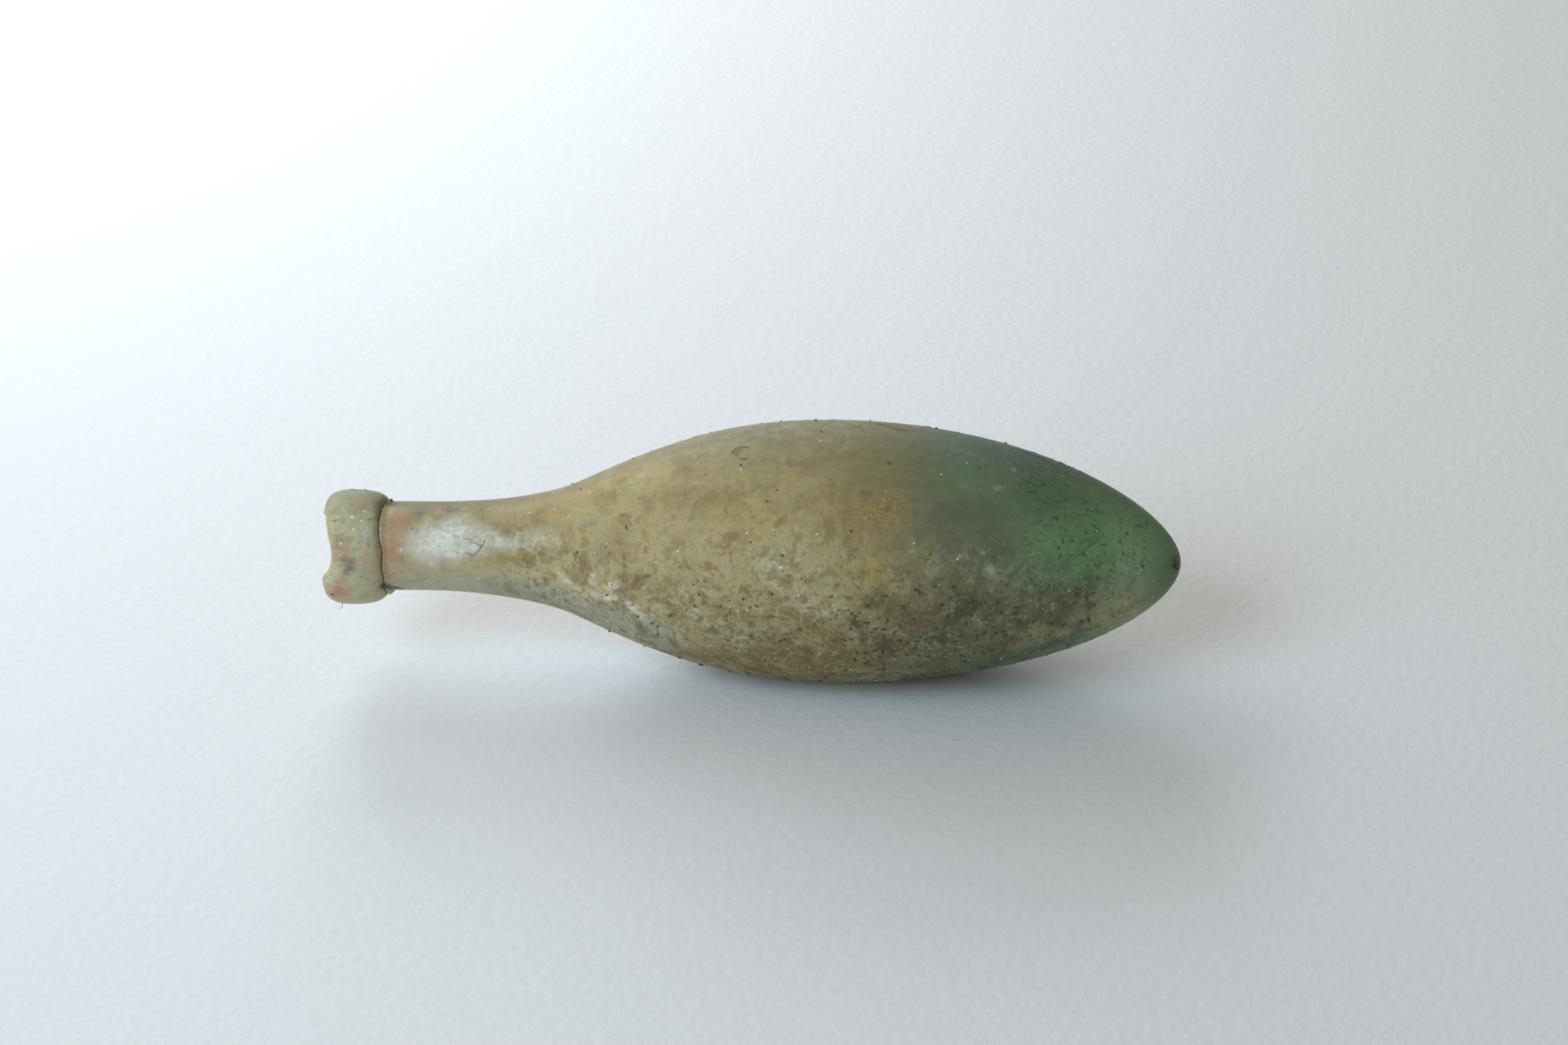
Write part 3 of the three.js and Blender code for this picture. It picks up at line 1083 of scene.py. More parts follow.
@dataclass(frozen=True)
class FrostedGlass:
    """The finish of the glass: green glass frosted by burial under films, stains and crusts of soil, with
    painted highlights on the neck and the flecks and painted shade on the top edge and in the groove under
    the lip.
    """

    name: str = "frosted_glass"
    ior: float = 1.5
    glow: float = 0.25
    glow_depth: float = 4.0
    sheen: float = 0.28
    clear: float = 0.5
    stray: float = 5.0
    fray: float = 1.4
    cloud_sizes: Triple = (9.0, 4.2, 1.1)
    patch_size: float = 4.4
    small: float = 1.2

    def build(self, height: float) -> bpy.types.Material:
        """Makes the material.

        Args:
            height: the height of the bottle's axis, in millimetres.

        Returns:
            The material.
        """
        material, graph = blank_material(self.name)
        skin = self._skin(graph, height)
        groove = graph.node("ShaderNodeAttribute", {"attribute_name": "groove"}, {}, "Fac")
        clouds = Clouds(*[graph.noise(skin.place, size, 3.0, 0.6) for size in self.cloud_sizes])
        paint = self._ground(graph, skin, clouds.broad)
        self._stain(graph, skin, paint)
        self._smear(graph, skin, clouds, paint)
        dirt = self._soil(graph, skin, clouds, paint)
        paint.coat("9a9270", clouds.mottle.rise(0.5, 0.62) * skin.lip * 0.45)
        rose = clouds.broad.rise(0.49, 0.38) * skin.lip * clouds.grain.rise(0.4, 0.56)
        paint.coat("bf917a", rose * 0.55)
        # The groove under the lip is painted dark brown: partly the dark line of the joint, partly painted
        # shade in the recess.
        paint.coat("57402b", groove * 0.8)
        film = graph.blend(skin.outer, tone("6d6244"), paint.colour)

        lift = clouds.grain * 0.09 + clouds.broad * 0.25
        lift = lift + dirt.crust * 0.1 + dirt.veins * 0.1 - dirt.pits * 0.16
        relief = graph.node("ShaderNodeBump", {}, {"Strength": 0.9, "Distance": MM, "Height": lift})
        frosted = {
            "Base Color": film,
            "Roughness": 0.66 + dirt.crust * 0.14,
            "IOR": self.ior,
            "Specular IOR Level": self.sheen,
            "Subsurface Weight": self.glow,
            "Subsurface Radius": (1.0, 0.9, 0.6),
            "Subsurface Scale": self.glow_depth * MM,
            "Normal": relief,
        }
        opaque = graph.node("ShaderNodeBsdfPrincipled", {}, frosted)
        clear = {
            "Base Color": graph.blend(0.4, tone("c6ecc6"), film),
            "Roughness": 0.5,
            "IOR": self.ior,
            "Transmission Weight": 1.0,
            "Normal": relief,
        }
        glass = graph.node("ShaderNodeBsdfPrincipled", {}, clear)
        bare = self._bare(skin, dirt)
        mixed = graph.node("ShaderNodeMixShader", {}, {0: bare * self.clear, 1: opaque, 2: glass})
        graph.node("ShaderNodeOutputMaterial", {}, {"Surface": mixed})
        return material

    def _skin(self, graph: Graph, height: float) -> Skin:
        """Reads the coordinates, turned to face the viewer, and the same with a ragged stray."""
        place = graph.node(
            "ShaderNodeMapping",
            {"vector_type": "POINT"},
            {
                "Vector": graph.node("ShaderNodeTexCoord", {}, {}, "Object"),
                "Location": (0.0, height * math.sin(SHOW_TURN), -height * math.cos(SHOW_TURN)),
                "Rotation": (SHOW_TURN, 0.0, 0.0),
                "Scale": (1000.0, 1000.0, 1000.0),
            },
        )
        stray = self._wander(graph, place, 13.0, self.stray)
        ragged = graph.shift(graph.shift(place, stray), self._wander(graph, place, 2.4, self.fray))
        along, _, _ = graph.axes(ragged)
        station, away, up = graph.axes(place)
        outer = graph.node("ShaderNodeAttribute", {"attribute_name": "outer"}, {}, "Fac")
        return Skin(place, ragged, along, away, crest_of(away, up), outer, station.rise(-116.6, -117.8))

    def _wander(self, graph: Graph, place: Value, size: float, reach: float) -> Value:
        """Makes a step that wanders up to its reach along each axis."""
        cloud = graph.noise(place, size, 2.0).other("Color")
        centred = graph.shift(cloud, (-0.5, -0.5, -0.5))
        return graph.stretch(centred, (2 * reach, 2 * reach, 2 * reach))

    def _ground(self, graph: Graph, skin: Skin, broad: Value) -> Paint:
        """Colours the film from the lip to the nose: tan and olive, then grey-green, then green, with painted
        shade along the top edge of the belly and nose.
        """
        along, crest, lip = skin.along, skin.crest, skin.lip
        paint = Paint(graph, tone("b9a776"))
        paint.coat("b5a67f", along.rise(-70.0, -92.0))
        tan = along.rise(30.0, 4.0)
        paint.coat("8a7645", broad.rise(0.52, 0.66) * tan * along.rise(-112.0, -84.0) * 0.5)
        paint.coat("bfb085", broad.rise(0.47, 0.34) * tan * 0.5)
        band = crest.rise(-0.55, -0.78) * along.between(-84.0, -46.0, 14.0)
        paint.coat("a8a68e", band * 0.85)
        paint.coat("b2ae93", crest.rise(-0.45, -0.8) * along.rise(-60.0, -82.0) * 0.85)
        paint.coat("897b55", crest.rise(0.74, 0.96) * along.rise(-86.0, -96.0, 0.8, 0.9))
        paint.coat("868060", crest.rise(0.35, 0.95) * along.rise(-50.0, -18.0) * 0.9)
        low = crest.rise(-0.1, -0.75)
        paint.coat("75663f", low * along.rise(-54.0, -20.0) * tan * 0.85)
        paint.coat("85805a", along.rise(-14.0, 18.0) * crest.rise(0.0, 0.4, 0.5, 0.8))
        paint.coat("7b7a5c", along.rise(2.0, 26.0) * 0.75)
        paint.coat("6c785a", along.rise(22.0, 42.0) * 0.8)
        paint.coat("8bc088", along.rise(38.0, 60.0) * 0.95)
        paint.coat("8fba8a", along.rise(66.0, 82.0) * 0.9)
        paint.coat("70896a", crest.rise(0.1, 0.6) * along.between(36.0, 48.0, 22.0) * 0.8)
        grit = crest.rise(-0.12, -0.45) * along.rise(6.0, 26.0)
        paint.coat("6d6a50", grit * along.rise(86.0, 56.0) * 0.85)
        paint.coat("a09d76", crest.rise(-0.3, -0.7) * along.between(56.0, 76.0, 14.0) * 0.85)
        paint.coat("62664c", crest.rise(0.1, -0.4) * along.rise(76.0, 87.0) * 0.6)
        paint.coat("5c604e", along.rise(83.0, 89.0) * 0.5)
        paint.coat("73936a", self._strip(skin) * 0.85)
        # Painted shade: the top edge of the belly and nose, where the thick glass is seen edge-on, is
        # darkened to slate.
        paint.coat("5b6f6a", crest.rise(0.62, 1.0) * along.between(34.0, 68.0, 24.0) * 0.8)
        paint.coat("b9b793", lip)
        cheek = lip * crest.rise(0.75, 0.3) * crest.rise(-0.9, -0.5)
        paint.coat("cbc39f", cheek * broad.rise(0.35, 0.65, 0.5, 0.9))
        paint.coat("8f9c80", lip * crest.rise(0.6, 0.97) * 0.9)
        return paint

    def _stain(self, graph: Graph, skin: Skin, paint: Paint) -> None:
        """Lays the stains on the side that is shown, with the painted highlight along the neck and the
        painted glints of the flecks among them.
        """
        near = skin.away.rise(6.0, -3.0)
        dust = graph.noise(skin.place, 0.6, 1.0).rise(0.5, 0.64)
        streaks = graph.noise(graph.stretch(skin.place, (0.6, 1.0, 1.0)), 1.2, 3.0, 0.65).rise(0.4, 0.6)
        for stain in STAINS:
            share = self._spot(graph, skin, stain.spots[0])
            for spot in stain.spots[1:]:
                share = share.at_least(self._spot(graph, skin, spot))
            texture = dust if stain.broken == 1.0 else streaks.rise(0.0, 1.0, 1.0 - stain.broken, 1.0)
            paint.coat(stain.code, share * near * texture)

    def _spot(self, graph: Graph, skin: Skin, spot: Spot) -> Value:
        """Finds how much of a spot covers a point. Small spots keep their place, wide ones are ragged."""
        place = skin.place if spot.length < self.small else skin.ragged
        offset = graph.shift(place, (-spot.along, 0.0, -spot.up))
        if spot.lean:
            cosine, sine = math.cos(spot.lean), math.sin(spot.lean)
            lengthwise = graph.reach(offset, (cosine / spot.length, 0.0, -sine / spot.length))
            crosswise = graph.reach(offset, (sine / spot.breadth, 0.0, cosine / spot.breadth))
            off = (lengthwise * lengthwise + crosswise * crosswise) ** 0.5
        else:
            shrunk = graph.stretch(offset, (1 / spot.length, 0.0, 1 / spot.breadth))
            off = graph.distance(shrunk, (0.0, 0.0, 0.0))
        return off.rise(1.15, 0.2, 0.0, spot.strength)

    def _smear(self, graph: Graph, skin: Skin, clouds: Clouds, paint: Paint) -> None:
        """Lays the streaks on top of the belly, the warm film of the shoulder and that of the far side."""
        streaks = graph.noise(graph.stretch(skin.place, (0.35, 1.0, 1.0)), 3.0, 3.0, 0.6)
        across = skin.crest.rise(0.0, 0.45) * skin.along.between(-46.0, 60.0, 20.0)
        paint.coat("716b49", streaks.rise(0.51, 0.66) * across * 0.24)
        paint.coat("a9a27c", streaks.rise(0.47, 0.34) * across * 0.14)
        warm = skin.along.between(-72.0, -2.0, 12.0) * skin.crest.rise(-0.5, -0.1)
        paint.coat("a68d68", streaks.rise(0.5, 0.62) * warm * 0.4)
        paint.coat("a19f76", clouds.mottle.rise(0.5, 0.6) * warm * 0.45)
        behind = skin.away.rise(-6.0, 8.0) * skin.along.between(-116.0, 30.0, 16.0)
        paint.coat("80754c", clouds.broad.rise(0.5, 0.6) * behind * 0.5)
        paint.coat("aeab8a", clouds.broad.rise(0.47, 0.36) * behind * 0.45)

    def _soil(self, graph: Graph, skin: Skin, clouds: Clouds, paint: Paint) -> Dirt:
        """Lays the soil: the crust and grit low on the side, the patches, veins, pits and specks."""
        broad, mottle, grain = clouds.broad, clouds.mottle, clouds.grain
        patches, veins = self._patches(graph, skin)
        pits = self._pits(graph, skin)
        specks = self._specks(graph, skin)
        low = skin.crest.rise(0.35, -0.4) * skin.along.between(-78.0, 76.0, 8.0)
        crust = grain.rise(0.53, 0.66) * low * (0.35 + 0.65 * broad.rise(0.4, 0.56))
        paint.coat("cdc4a3", crust * 0.42)
        paint.coat("5c4c30", grain.rise(0.47, 0.32) * (0.2 + 0.36 * low))
        gritty = self._gritty(skin)
        paint.coat("b9ae88", mottle.rise(0.53, 0.64) * low * (0.42 - 0.2 * gritty))
        paint.coat("6c5d3d", mottle.rise(0.48, 0.37) * (0.16 + 0.4 * low))
        paint.coat("3c3828", broad.rise(0.5, 0.64) * gritty * 0.5)
        paint.coat("80703f", patches * 0.5)
        paint.coat("c9c0a0", veins * 0.24)
        paint.coat("39402a", self._squiggles(graph, skin, grain) * 0.8)
        paint.coat("453b28", pits * 0.8)
        paint.coat("f4efdc", specks)
        return Dirt(crust, veins, pits)

    def _patches(self, graph: Graph, skin: Skin) -> tuple[Value, Value]:
        """Draws the darker patches that the film dried into on the side, and the pale veins between them."""
        shade, _, _ = graph.axes(graph.cells(skin.ragged, self.patch_size).other("Color"))
        edge = graph.cells(skin.ragged, self.patch_size, "DISTANCE_TO_EDGE")
        cloud = graph.noise(skin.place, 7.0, 2.0)
        where = skin.crest.rise(0.8, 0.2) * skin.along.between(-84.0, 4.0, 14.0)
        veins = edge.rise(0.14, 0.0) * cloud.rise(0.45, 0.62) * skin.crest.rise(0.15, -0.35)
        patches = shade.rise(0.35, 0.9) * edge.rise(0.0, 0.2) * cloud.rise(0.36, 0.54)
        return patches * where, veins * where

    def _pits(self, graph: Graph, skin: Skin) -> Value:
        """Draws the dark pits, few on the tan film and thick in the grit under the nose."""
        cell = graph.cells(skin.ragged, 1.9)
        chosen, _, _ = graph.axes(cell.other("Color"))
        lower = skin.crest.rise(0.0, -0.5) * skin.along.between(-40.0, 20.0, 10.0)
        share = 0.005 + 0.5 * self._gritty(skin) + 0.06 * lower
        return cell.rise(0.42, 0.14) * (share - chosen).rise(0.0, 0.05)

    def _strip(self, skin: Skin) -> Value:
        """Finds the strip of clean green glass along the underside of the nose."""
        return skin.crest.rise(-0.8, -0.92) * skin.along.between(38.0, 68.0, 8.0)

    def _gritty(self, skin: Skin) -> Value:
        """Finds where the dark grit sticks, low on the side towards the nose."""
        return skin.crest.rise(-0.1, -0.5) * skin.along.between(8.0, 62.0, 14.0)

    def _squiggles(self, graph: Graph, skin: Skin, grain: Value) -> Value:
        """Draws the short dark threads, left by rootlets, on the green of the nose."""
        flow = graph.noise(skin.place, 3.4, 1.0, 0.5, 1.4)
        thread = (flow - 0.5).size().rise(0.034, 0.014)
        broken = thread * grain.rise(0.45, 0.52)
        return broken * skin.along.between(50.0, 86.0, 6.0) * skin.crest.between(-0.3, 0.7, 0.2)

    def _specks(self, graph: Graph, skin: Skin) -> Value:
        """Draws tiny white specks of mineral, more of them on the lower half."""
        cell = graph.cells(skin.place, 2.2)
        chosen, _, _ = graph.axes(cell.other("Color"))
        share = 0.05 + 0.07 * skin.crest.rise(0.3, -0.3)
        return cell.rise(0.13, 0.08) * (share - chosen).rise(0.0, 0.01)

    def _bare(self, skin: Skin, dirt: Dirt) -> Value:
        """Finds how bare the glass is: most in the nose, a little in the clean band under the flare."""
        nose = skin.along.rise(34.0, 66.0) * skin.crest.rise(-0.75, -0.2, 0.45, 1.0)
        strip = self._strip(skin)
        clean = skin.crest.rise(-0.6, -0.8) * skin.along.between(-84.0, -46.0, 14.0) * 0.4
        most = nose.at_least(strip).at_least(clean)
        return most * (1.0 - dirt.crust * 0.6) * (1.0 - dirt.pits) * (1.0 - dirt.veins)


def crumble(tree: GeometryTree, instances: Value, size: float) -> Value:
    """Makes balls into rugged grains.

    Args:
        tree: the tree that the balls are in.
        instances: the balls.
        size: their mean width in millimetres.

    Returns:
        The grains as real geometry.
    """
    real = tree.node("GeometryNodeRealizeInstances", {}, {"Geometry": instances})
    place = tree.node("GeometryNodeInputPosition")
    look = {"Scale": 1.6 / (size * MM), "Detail": 0.0}
    ripple = tree.node("ShaderNodeTexNoise", {}, {"Vector": place, **look})
    push = tree.stretch(tree.shift(ripple.other("Color"), (-0.5, -0.5, -0.5)), (0.7 * size * MM,) * 3)
    return tree.node("GeometryNodeSetPosition", {}, {"Geometry": real, "Offset": push})


def grain_finish(name: str, code: str, rough: float) -> bpy.types.Material:
    """Makes the finish of grains, lighter and darker from place to place.

    Args:
        name: its name.
        code: its lighter colour.
        rough: how rough it is.

    Returns:
        The material.
    """
    material, graph = blank_material(name)
    place = graph.millimetres()
    paint = Paint(graph, tone(code))
    paint.coat("1e1a12", graph.noise(place, 1.5, 1.0).rise(0.45, 0.7) * 0.4)
    surface = graph.node("ShaderNodeBsdfPrincipled", {}, {"Base Color": paint.colour, "Roughness": rough})
    graph.node("ShaderNodeOutputMaterial", {}, {"Surface": surface})
    return material


@dataclass(frozen=True)
class Grit:
    """Grains of one kind that cling to the outside of the glass, half sunk in its film.

    The counts are to the square centimetre: anywhere, and low on the side where the soil stayed. The size is
    the mean width of a grain in millimetres.
    """

    name: str
    code: str
    anywhere: float
    low: float
    size: float
    seed: int
    fineness: int = 1
    rough: float = 0.8
    flatness: float = 0.6

    def build(self, shell: bpy.types.Object, height: float) -> bpy.types.Object:
        """Scatters the grains.

        Args:
            shell: the glass that they cling to.
            height: the height of the bottle's axis, in millimetres.

        Returns:
            The grains as one piece.
        """
        tree = GeometryTree(self.name)
        anywhere = tree.knob("Anywhere", "Float", self.anywhere * 1e4)
        low = tree.knob("Low", "Float", self.low * 1e4)
        size = tree.knob("Size", "Float", self.size * MM)
        finish = tree.knob("Material", "Material", grain_finish(self.name, self.code, self.rough))

        x, y, z = tree.axes(tree.node("GeometryNodeInputPosition"))
        y, z = y / MM, z / MM - height
        up = y * math.sin(SHOW_TURN) + z * math.cos(SHOW_TURN)
        away = y * math.cos(SHOW_TURN) - z * math.sin(SHOW_TURN)
        crest = crest_of(away, up)
        outer = tree.attribute("outer")
        soiled = crest.rise(0.1, -0.4) * (x / MM).between(-60.0, 62.0, 14.0)
        patchy = tree.noise(tree.node("GeometryNodeInputPosition"), 0.011, 2.0).rise(0.42, 0.6)
        density = (anywhere + low * soiled * patchy) * outer.rise(0.9, 1.0)
        points = tree.node(
            "GeometryNodeDistributePointsOnFaces",
            {"distribute_method": "RANDOM"},
            {"Mesh": tree.source, "Density": density, "Seed": self.seed},
            "Points",
        )
        grain = tree.ball(self.fineness)
        widths = {"Min": 0.4, "Max": 1.6, "Seed": self.seed + 1}
        width = tree.node("FunctionNodeRandomValue", {"data_type": "FLOAT"}, widths, 1)
        spins = {0: (0.0, 0.0, 0.0), 1: (0.5, 0.5, math.tau), "Seed": self.seed + 2}
        spin = tree.node("FunctionNodeRandomValue", {"data_type": "FLOAT_VECTOR"}, spins, 0)
        turned = tree.node(
            "FunctionNodeRotateRotation",
            {"rotation_space": "LOCAL"},
            {0: points.other("Rotation"), 1: tree.node("FunctionNodeEulerToRotation", {}, {0: spin})},
        )
        scale = tree.vector(size * width, size * width * 0.7, size * width * self.flatness)
        sockets = {"Points": points, "Instance": grain, "Rotation": turned, "Scale": scale}
        instances = tree.node("GeometryNodeInstanceOnPoints", {}, sockets)
        tree.finish(crumble(tree, instances, self.size), finish, 0.4)
        return tree.run(shell.data, self.name)


def on_glass(sizes: BottleSizes, height: float, station: float, turn: float, lift: float) -> Vector:
    """Finds a place on the outside of the glass.

    Args:
        sizes: the bottle's sizes.
        height: the height of the level line through the nose, in millimetres.
        station: how far it is from the rim, in millimetres.
        turn: how many degrees it is round from the viewer's top.
        lift: how far off the glass it is, in millimetres.

    Returns:
        The place in metres.
    """
    radius, stations = Outline(sizes).outside().T
    reach = float(np.interp(station, stations, radius)) + lift
    up, out = reach * math.cos(math.radians(turn)), reach * math.sin(math.radians(turn))
    y = up * math.sin(SHOW_TURN) - out * math.cos(SHOW_TURN)
    z = up * math.cos(SHOW_TURN) + out * math.sin(SHOW_TURN) + height + sizes.bow(station)
    if station < sizes.lip_length:
        z -= sizes.lip_drop
    return Vector((station - sizes.belly_station, y, z)) * MM


@dataclass(frozen=True)
class Crumbs:
    """The few larger crumbs of soil that break the outline, each with its station, turn and width."""

    name: str = "lodged_crumbs"
    code: str = "554a35"
    sunk: float = -0.1
    crumbs: tuple[Triple, ...] = (
        (9.8, 6.0, 0.8),
        (2.6, 150.0, 0.8),
        (17.0, 168.0, 1.0),
        (16.6, 8.0, 0.7),
        (64.0, 4.0, 0.6),
        (74.5, 176.0, 0.8),
        (93.0, 170.0, 1.1),
        (98.5, 174.0, 1.2),
        (106.0, 177.0, 0.9),
        (111.0, 168.0, 1.3),
        (121.0, 175.0, 1.0),
        (129.5, 171.0, 1.2),
        (143.0, 176.0, 1.1),
        (151.0, 172.0, 0.9),
        (163.0, 168.0, 1.0),
        (118.0, 3.0, 0.7),
        (127.0, 8.0, 0.8),
        (141.0, 4.0, 0.7),
        (158.0, 6.0, 0.8),
        (176.0, 2.0, 0.7),
        (192.5, 9.0, 0.6),
        (207.0, 66.0, 0.8),
        (146.2, 48.0, 0.5),
        (220.2, 97.0, 1.0),
        (220.6, 110.0, 0.7),
        (80.0, 76.0, 0.7),
    )

    def build(self, sizes: BottleSizes, height: float) -> bpy.types.Object:
        """Sets the crumbs on the glass.

        Args:
            sizes: the bottle's sizes.
            height: the height of the level line through the nose, in millimetres.

        Returns:
            The crumbs as one piece.
        """
        mesh = bpy.data.meshes.new("crumb_places")
        places = [on_glass(sizes, height, station, turn, self.sunk) for station, turn, _ in self.crumbs]
        mesh.from_pydata(places, [], [])
        widths = [width * MM for _, _, width in self.crumbs]
        mesh.attributes.new("width", "FLOAT", "POINT").data.foreach_set("value", widths)
        tree = GeometryTree(self.name)
        finish = tree.knob("Material", "Material", grain_finish(self.name, self.code, 0.85))
        width = tree.attribute("width")
        ball = tree.ball(3)
        scale = tree.vector(width * 1.2, width * 0.8, width * 0.7)
        sockets = {"Points": tree.source, "Instance": ball, "Scale": scale}
        instances = tree.node("GeometryNodeInstanceOnPoints", {}, sockets)
        tree.finish(crumble(tree, instances, 0.8), finish, 0.4)
        return tree.run(mesh, self.name)


@dataclass(frozen=True)
class Rootlets:
    """The threads of dried rootlet on the glass, each through points with a station, a turn and a lift."""

    name: str = "rootlets"
    code: str = "6e6242"
    thickness: float = 0.15
    clear: float = 0.05
    threads: tuple[tuple[Triple, ...], ...] = (
        ((4.5, 170.0, -0.2), (4.4, 173.0, 0.5), (4.2, 175.0, 1.1), (3.5, 176.0, 1.5)),
        ((37.2, 80.0, 0.0), (38.4, 81.0, 0.2), (39.6, 82.0, 0.0)),
        ((38.8, 84.0, 0.0), (40.4, 86.0, 0.2), (41.8, 89.0, 0.1), (42.8, 81.0, 0.0)),
        ((41.8, 89.0, 0.1), (40.9, 95.0, 0.1), (39.5, 100.0, 0.1), (37.6, 97.0, 0.0)),
        ((106.2, 39.5, 0.0), (107.0, 36.5, 0.1), (109.2, 35.5, 0.1), (110.8, 37.5, 0.0)),
        ((108.2, 43.0, 0.0), (109.0, 44.5, 0.1), (110.4, 44.0, 0.0)),
        ((193.0, 60.0, 0.0), (195.2, 62.0, 0.1), (196.6, 59.0, 0.1), (197.6, 62.0, 0.0)),
        ((195.6, 77.0, 0.0), (197.4, 79.0, 0.1), (197.0, 82.0, 0.0)),
        ((212.2, 84.0, 0.0), (210.8, 93.0, 0.1), (211.8, 99.0, 0.1), (210.6, 105.0, 0.0)),
        ((202.6, 103.0, 0.0), (203.8, 97.0, 0.1), (203.0, 91.0, 0.0)),
        ((178.0, 13.0, 0.0), (181.6, 17.0, 0.1), (185.4, 18.0, 0.1), (189.0, 23.0, 0.0)),
        ((190.0, 25.0, 0.0), (194.0, 31.0, 0.1), (196.8, 38.0, 0.0)),
        ((142.4, 13.0, 0.0), (145.2, 16.0, 0.1), (147.6, 20.0, 0.1), (150.6, 20.0, 0.0)),
    )

    def build(self, sizes: BottleSizes, height: float) -> bpy.types.Object:
        """Draws the threads.

        Args:
            sizes: the bottle's sizes.
            height: the height of the level line through the nose, in millimetres.

        Returns:
            The threads as one piece.
        """
        places: list[Vector] = []
        edges: list[tuple[int, int]] = []
        for thread in self.threads:
            first = len(places)
            for station, turn, lift in thread:
                places.append(on_glass(sizes, height, station, turn, lift + self.clear))
            edges += [(i, i + 1) for i in range(first, len(places) - 1)]
        mesh = bpy.data.meshes.new("rootlet_paths")
        mesh.from_pydata(places, edges, [])
        tree = GeometryTree(self.name)
        finish = tree.knob("Material", "Material", grain_finish(self.name, self.code, 0.8))
        thickness = tree.knob("Thickness", "Float", self.thickness * MM)
        path = tree.node("GeometryNodeMeshToCurve", {}, {"Mesh": tree.source})
        smooth = tree.node("GeometryNodeCurveSplineType", {"spline_type": "CATMULL_ROM"}, {"Curve": path})
        even = tree.node("GeometryNodeResampleCurve", {}, {"Curve": smooth, "Count": 28})
        round_wire = {"Resolution": 8, "Radius": thickness / 2}
        ring = tree.node("GeometryNodeCurvePrimitiveCircle", {}, round_wire, "Curve")
        sockets = {"Curve": even, "Profile Curve": ring, "Fill Caps": True}
        tube = tree.node("GeometryNodeCurveToMesh", {}, sockets)
        tree.finish(tube, finish)
        return tree.run(mesh, self.name)


GRIT = (
    Grit("soil_crumbs", "5e5138", 0.15, 3.2, 0.55, 11, fineness=2),
    Grit("dark_grains", "443b2a", 0.06, 2.4, 0.34, 23),
    Grit("pale_flecks", "d8cfb2", 0.5, 5.5, 0.26, 37, rough=0.5),
    Grit("mineral_specks", "fffdf2", 0.5, 1.6, 0.34, 53, rough=0.25),
)


@dataclass(frozen=True)
class PaleSheet:
    """The pale sheet that the bottle lies on, its width in metres and its grain in millimetres."""

    width: float = 4.0
    name: str = "pale_sheet"
    code: str = "e9eaec"
    grain_size: float = 2.8

    def build(self) -> bpy.types.Object:
        """Makes the sheet as a flat square round the origin."""
        half = self.width / 2
        mesh = bpy.data.meshes.new(self.name)
        corners = [(-half, -half, 0.0), (half, -half, 0.0), (half, half, 0.0), (-half, half, 0.0)]
        mesh.from_pydata(corners, [], [(0, 1, 2, 3)])
        sheet = put(self.name, mesh)
        material, graph = blank_material(self.name)
        grain = graph.noise(graph.millimetres(), self.grain_size, 2.0)
        bump = graph.node("ShaderNodeBump", {}, {"Strength": 0.22, "Distance": 0.8 * MM, "Height": grain})
        look = {"Base Color": tone(self.code), "Roughness": 0.62, "Normal": bump}
        cloth = graph.node("ShaderNodeBsdfPrincipled", {}, look)
        graph.node("ShaderNodeOutputMaterial", {}, {"Surface": cloth})
        mesh.materials.append(material)
        return sheet


@dataclass(frozen=True)
class Lamp:
    """A soft square lamp, in metres and watts."""

    name: str
    place: Triple
    aim: Triple
    size: float
    power: float
    colour: Triple = (1.0, 1.0, 1.0)

    def build(self) -> bpy.types.Object:
        """Makes the lamp, turned to its aim."""
        light = bpy.data.lights.new(self.name, "AREA")
        light.shape = "SQUARE"
        light.size = self.size
        light.energy = self.power
        light.color = self.colour
        lamp = put(self.name, light)
        lamp.location = self.place
        way = Vector(self.aim) - Vector(self.place)
        lamp.rotation_euler = way.to_track_quat("-Z", "Y").to_euler()
        return lamp


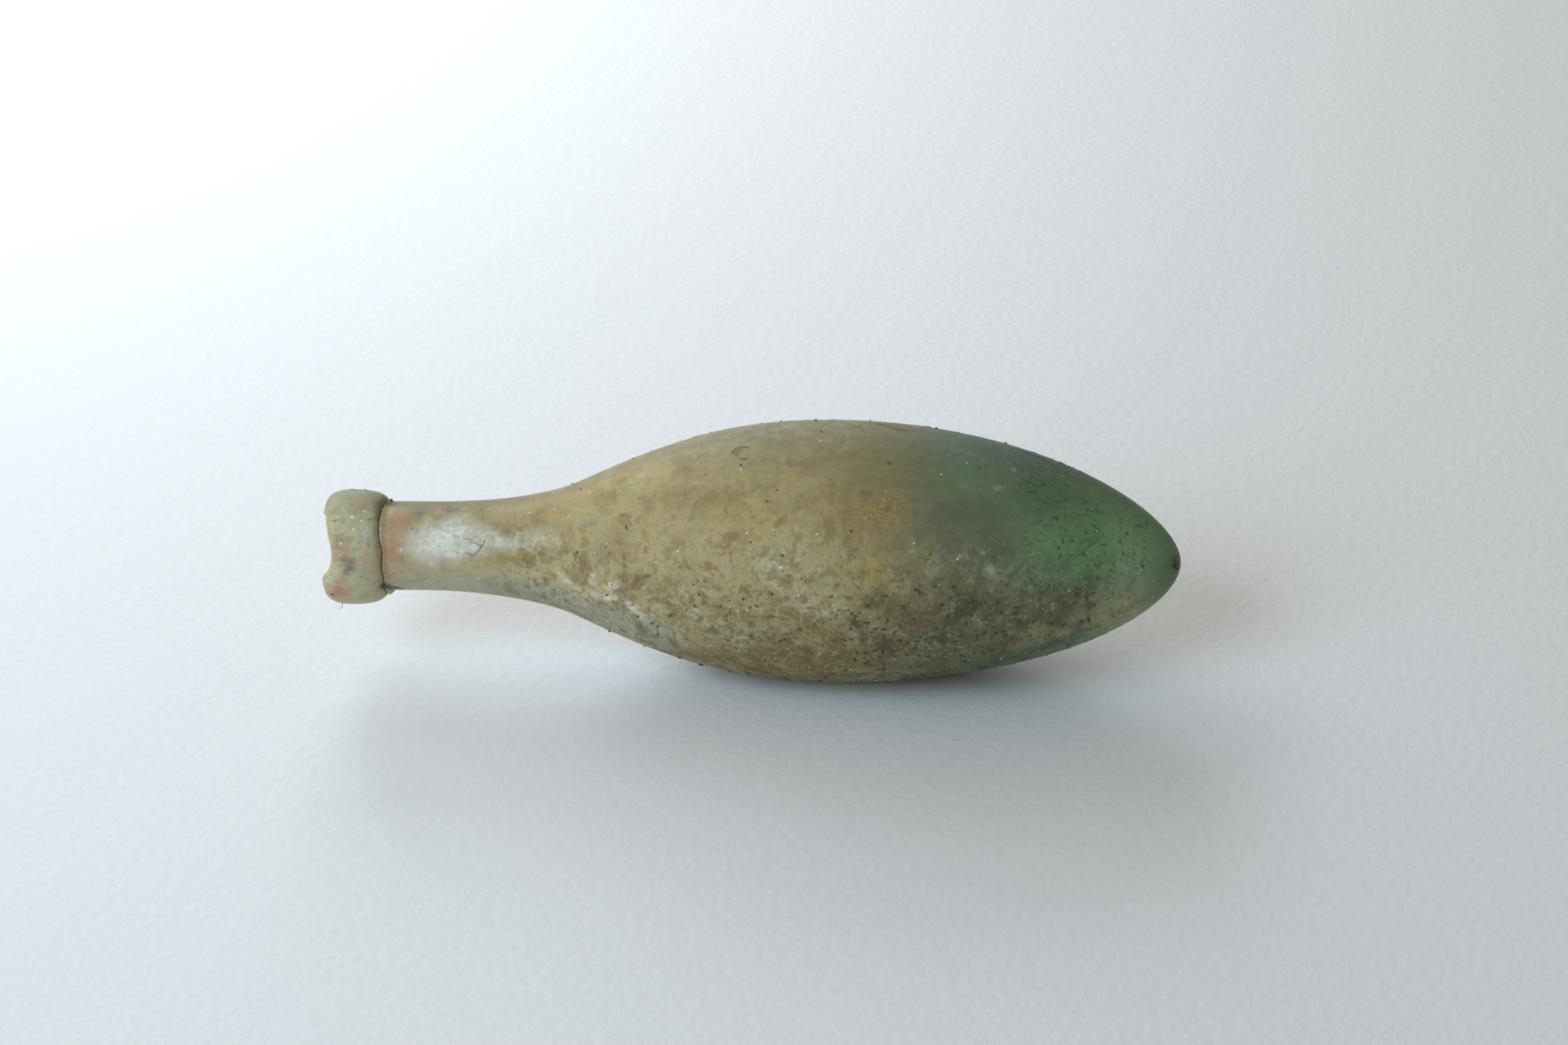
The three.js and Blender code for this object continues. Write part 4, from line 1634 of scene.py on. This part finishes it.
@dataclass(frozen=True)
class Studio:
    """Plain soft light and the camera, at the photograph's viewing angle."""

    distance: float = 0.9
    elevation: float = math.radians(28.0)
    yaw: float = math.radians(2.46)
    sensor: float = 36.0
    frame_width: float = 0.407
    aim_left: float = 0.01376
    aim_up: float = 0.00713
    daylight: tuple[float, float, float, float] = (1.0, 0.86, 0.58, 1.0)
    daylight_strength: float = 0.23
    lamps: tuple[Lamp, ...] = (
        Lamp("back_window", (-0.4, 1.7, 0.7), (-0.1, 0.9, 0.0), 0.8, 13.0, (0.82, 0.88, 1.0)),
        Lamp("side_window", (-1.08, 0.0, 0.68), (0.0, 0.0, 0.03), 1.0, 2.6, (1.0, 0.9, 0.95)),
        Lamp("left_corner", (-0.5, 0.55, 0.5), (-0.25, 0.3, 0.0), 0.5, 2.6, (0.88, 0.98, 1.0)),
        Lamp("front_window", (-1.0, -1.0, 0.9), (0.0, 0.0, 0.0), 1.0, 18.0, (0.63, 0.82, 1.0)),
    )

    def camera(self, target: Vector) -> bpy.types.Object:
        """Sets up the camera.

        Args:
            target: the middle of the belly.

        Returns:
            The camera, which is made the scene's own.
        """
        lens = bpy.data.cameras.new("camera")
        lens.sensor_width = self.sensor
        lens.lens = self.sensor * self.distance / self.frame_width
        lens.clip_start = 0.01
        lens.clip_end = 20.0
        camera = put("camera", lens)
        flat = math.cos(self.elevation)
        back = Vector((math.sin(self.yaw) * flat, -math.cos(self.yaw) * flat, math.sin(self.elevation)))
        turn = (-back).to_track_quat("-Z", "Y")
        right, up = turn @ Vector((1, 0, 0)), turn @ Vector((0, 1, 0))
        camera.location = target + back * self.distance - right * self.aim_left + up * self.aim_up
        camera.rotation_euler = turn.to_euler()
        bpy.context.scene.camera = camera
        return camera

    def light(self) -> None:
        """Sets up the lamps, the daylight round them and a plain film response."""
        world = bpy.data.worlds.new("daylight")
        world.use_nodes = True
        background = world.node_tree.nodes["Background"]
        background.inputs["Color"].default_value = self.daylight
        background.inputs["Strength"].default_value = self.daylight_strength
        scene = bpy.context.scene
        scene.world = world
        scene.view_settings.view_transform = "Standard"
        scene.view_settings.look = "None"
        for lamp in self.lamps:
            lamp.build()


def report(piece: bpy.types.Object) -> None:
    """Logs a piece's name and how many triangles it has."""
    triangles = sum(len(face.vertices) - 2 for face in piece.data.polygons)
    LOG.info("%s: %d triangles", piece.name, triangles)


def main() -> None:
    """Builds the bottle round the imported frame, and the scene round the bottle."""
    logging.basicConfig(level=logging.INFO, format="%(name)s: %(message)s")
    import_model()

    shell = GlassShell()
    height = shell.axis_height() + shell.sizes.bow_rise
    glass = FrostedGlass().build(height)
    bottle = shell.build(glass)
    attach(bottle, BODY)
    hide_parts(NODE)
    report(bottle)
    grit = [kind.build(bottle, height) for kind in GRIT]
    grit.append(Crumbs().build(shell.sizes, shell.axis_height()))
    grit.append(Rootlets().build(shell.sizes, shell.axis_height()))
    for piece in grit:
        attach(piece, BODY)
        report(piece)

    PaleSheet().build()
    studio = Studio()
    low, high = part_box(NODE)
    studio.camera(Vector((0.0, 0.0, (low.z + high.z) / 2)))
    studio.light()


if __name__ == "__main__":
    main()
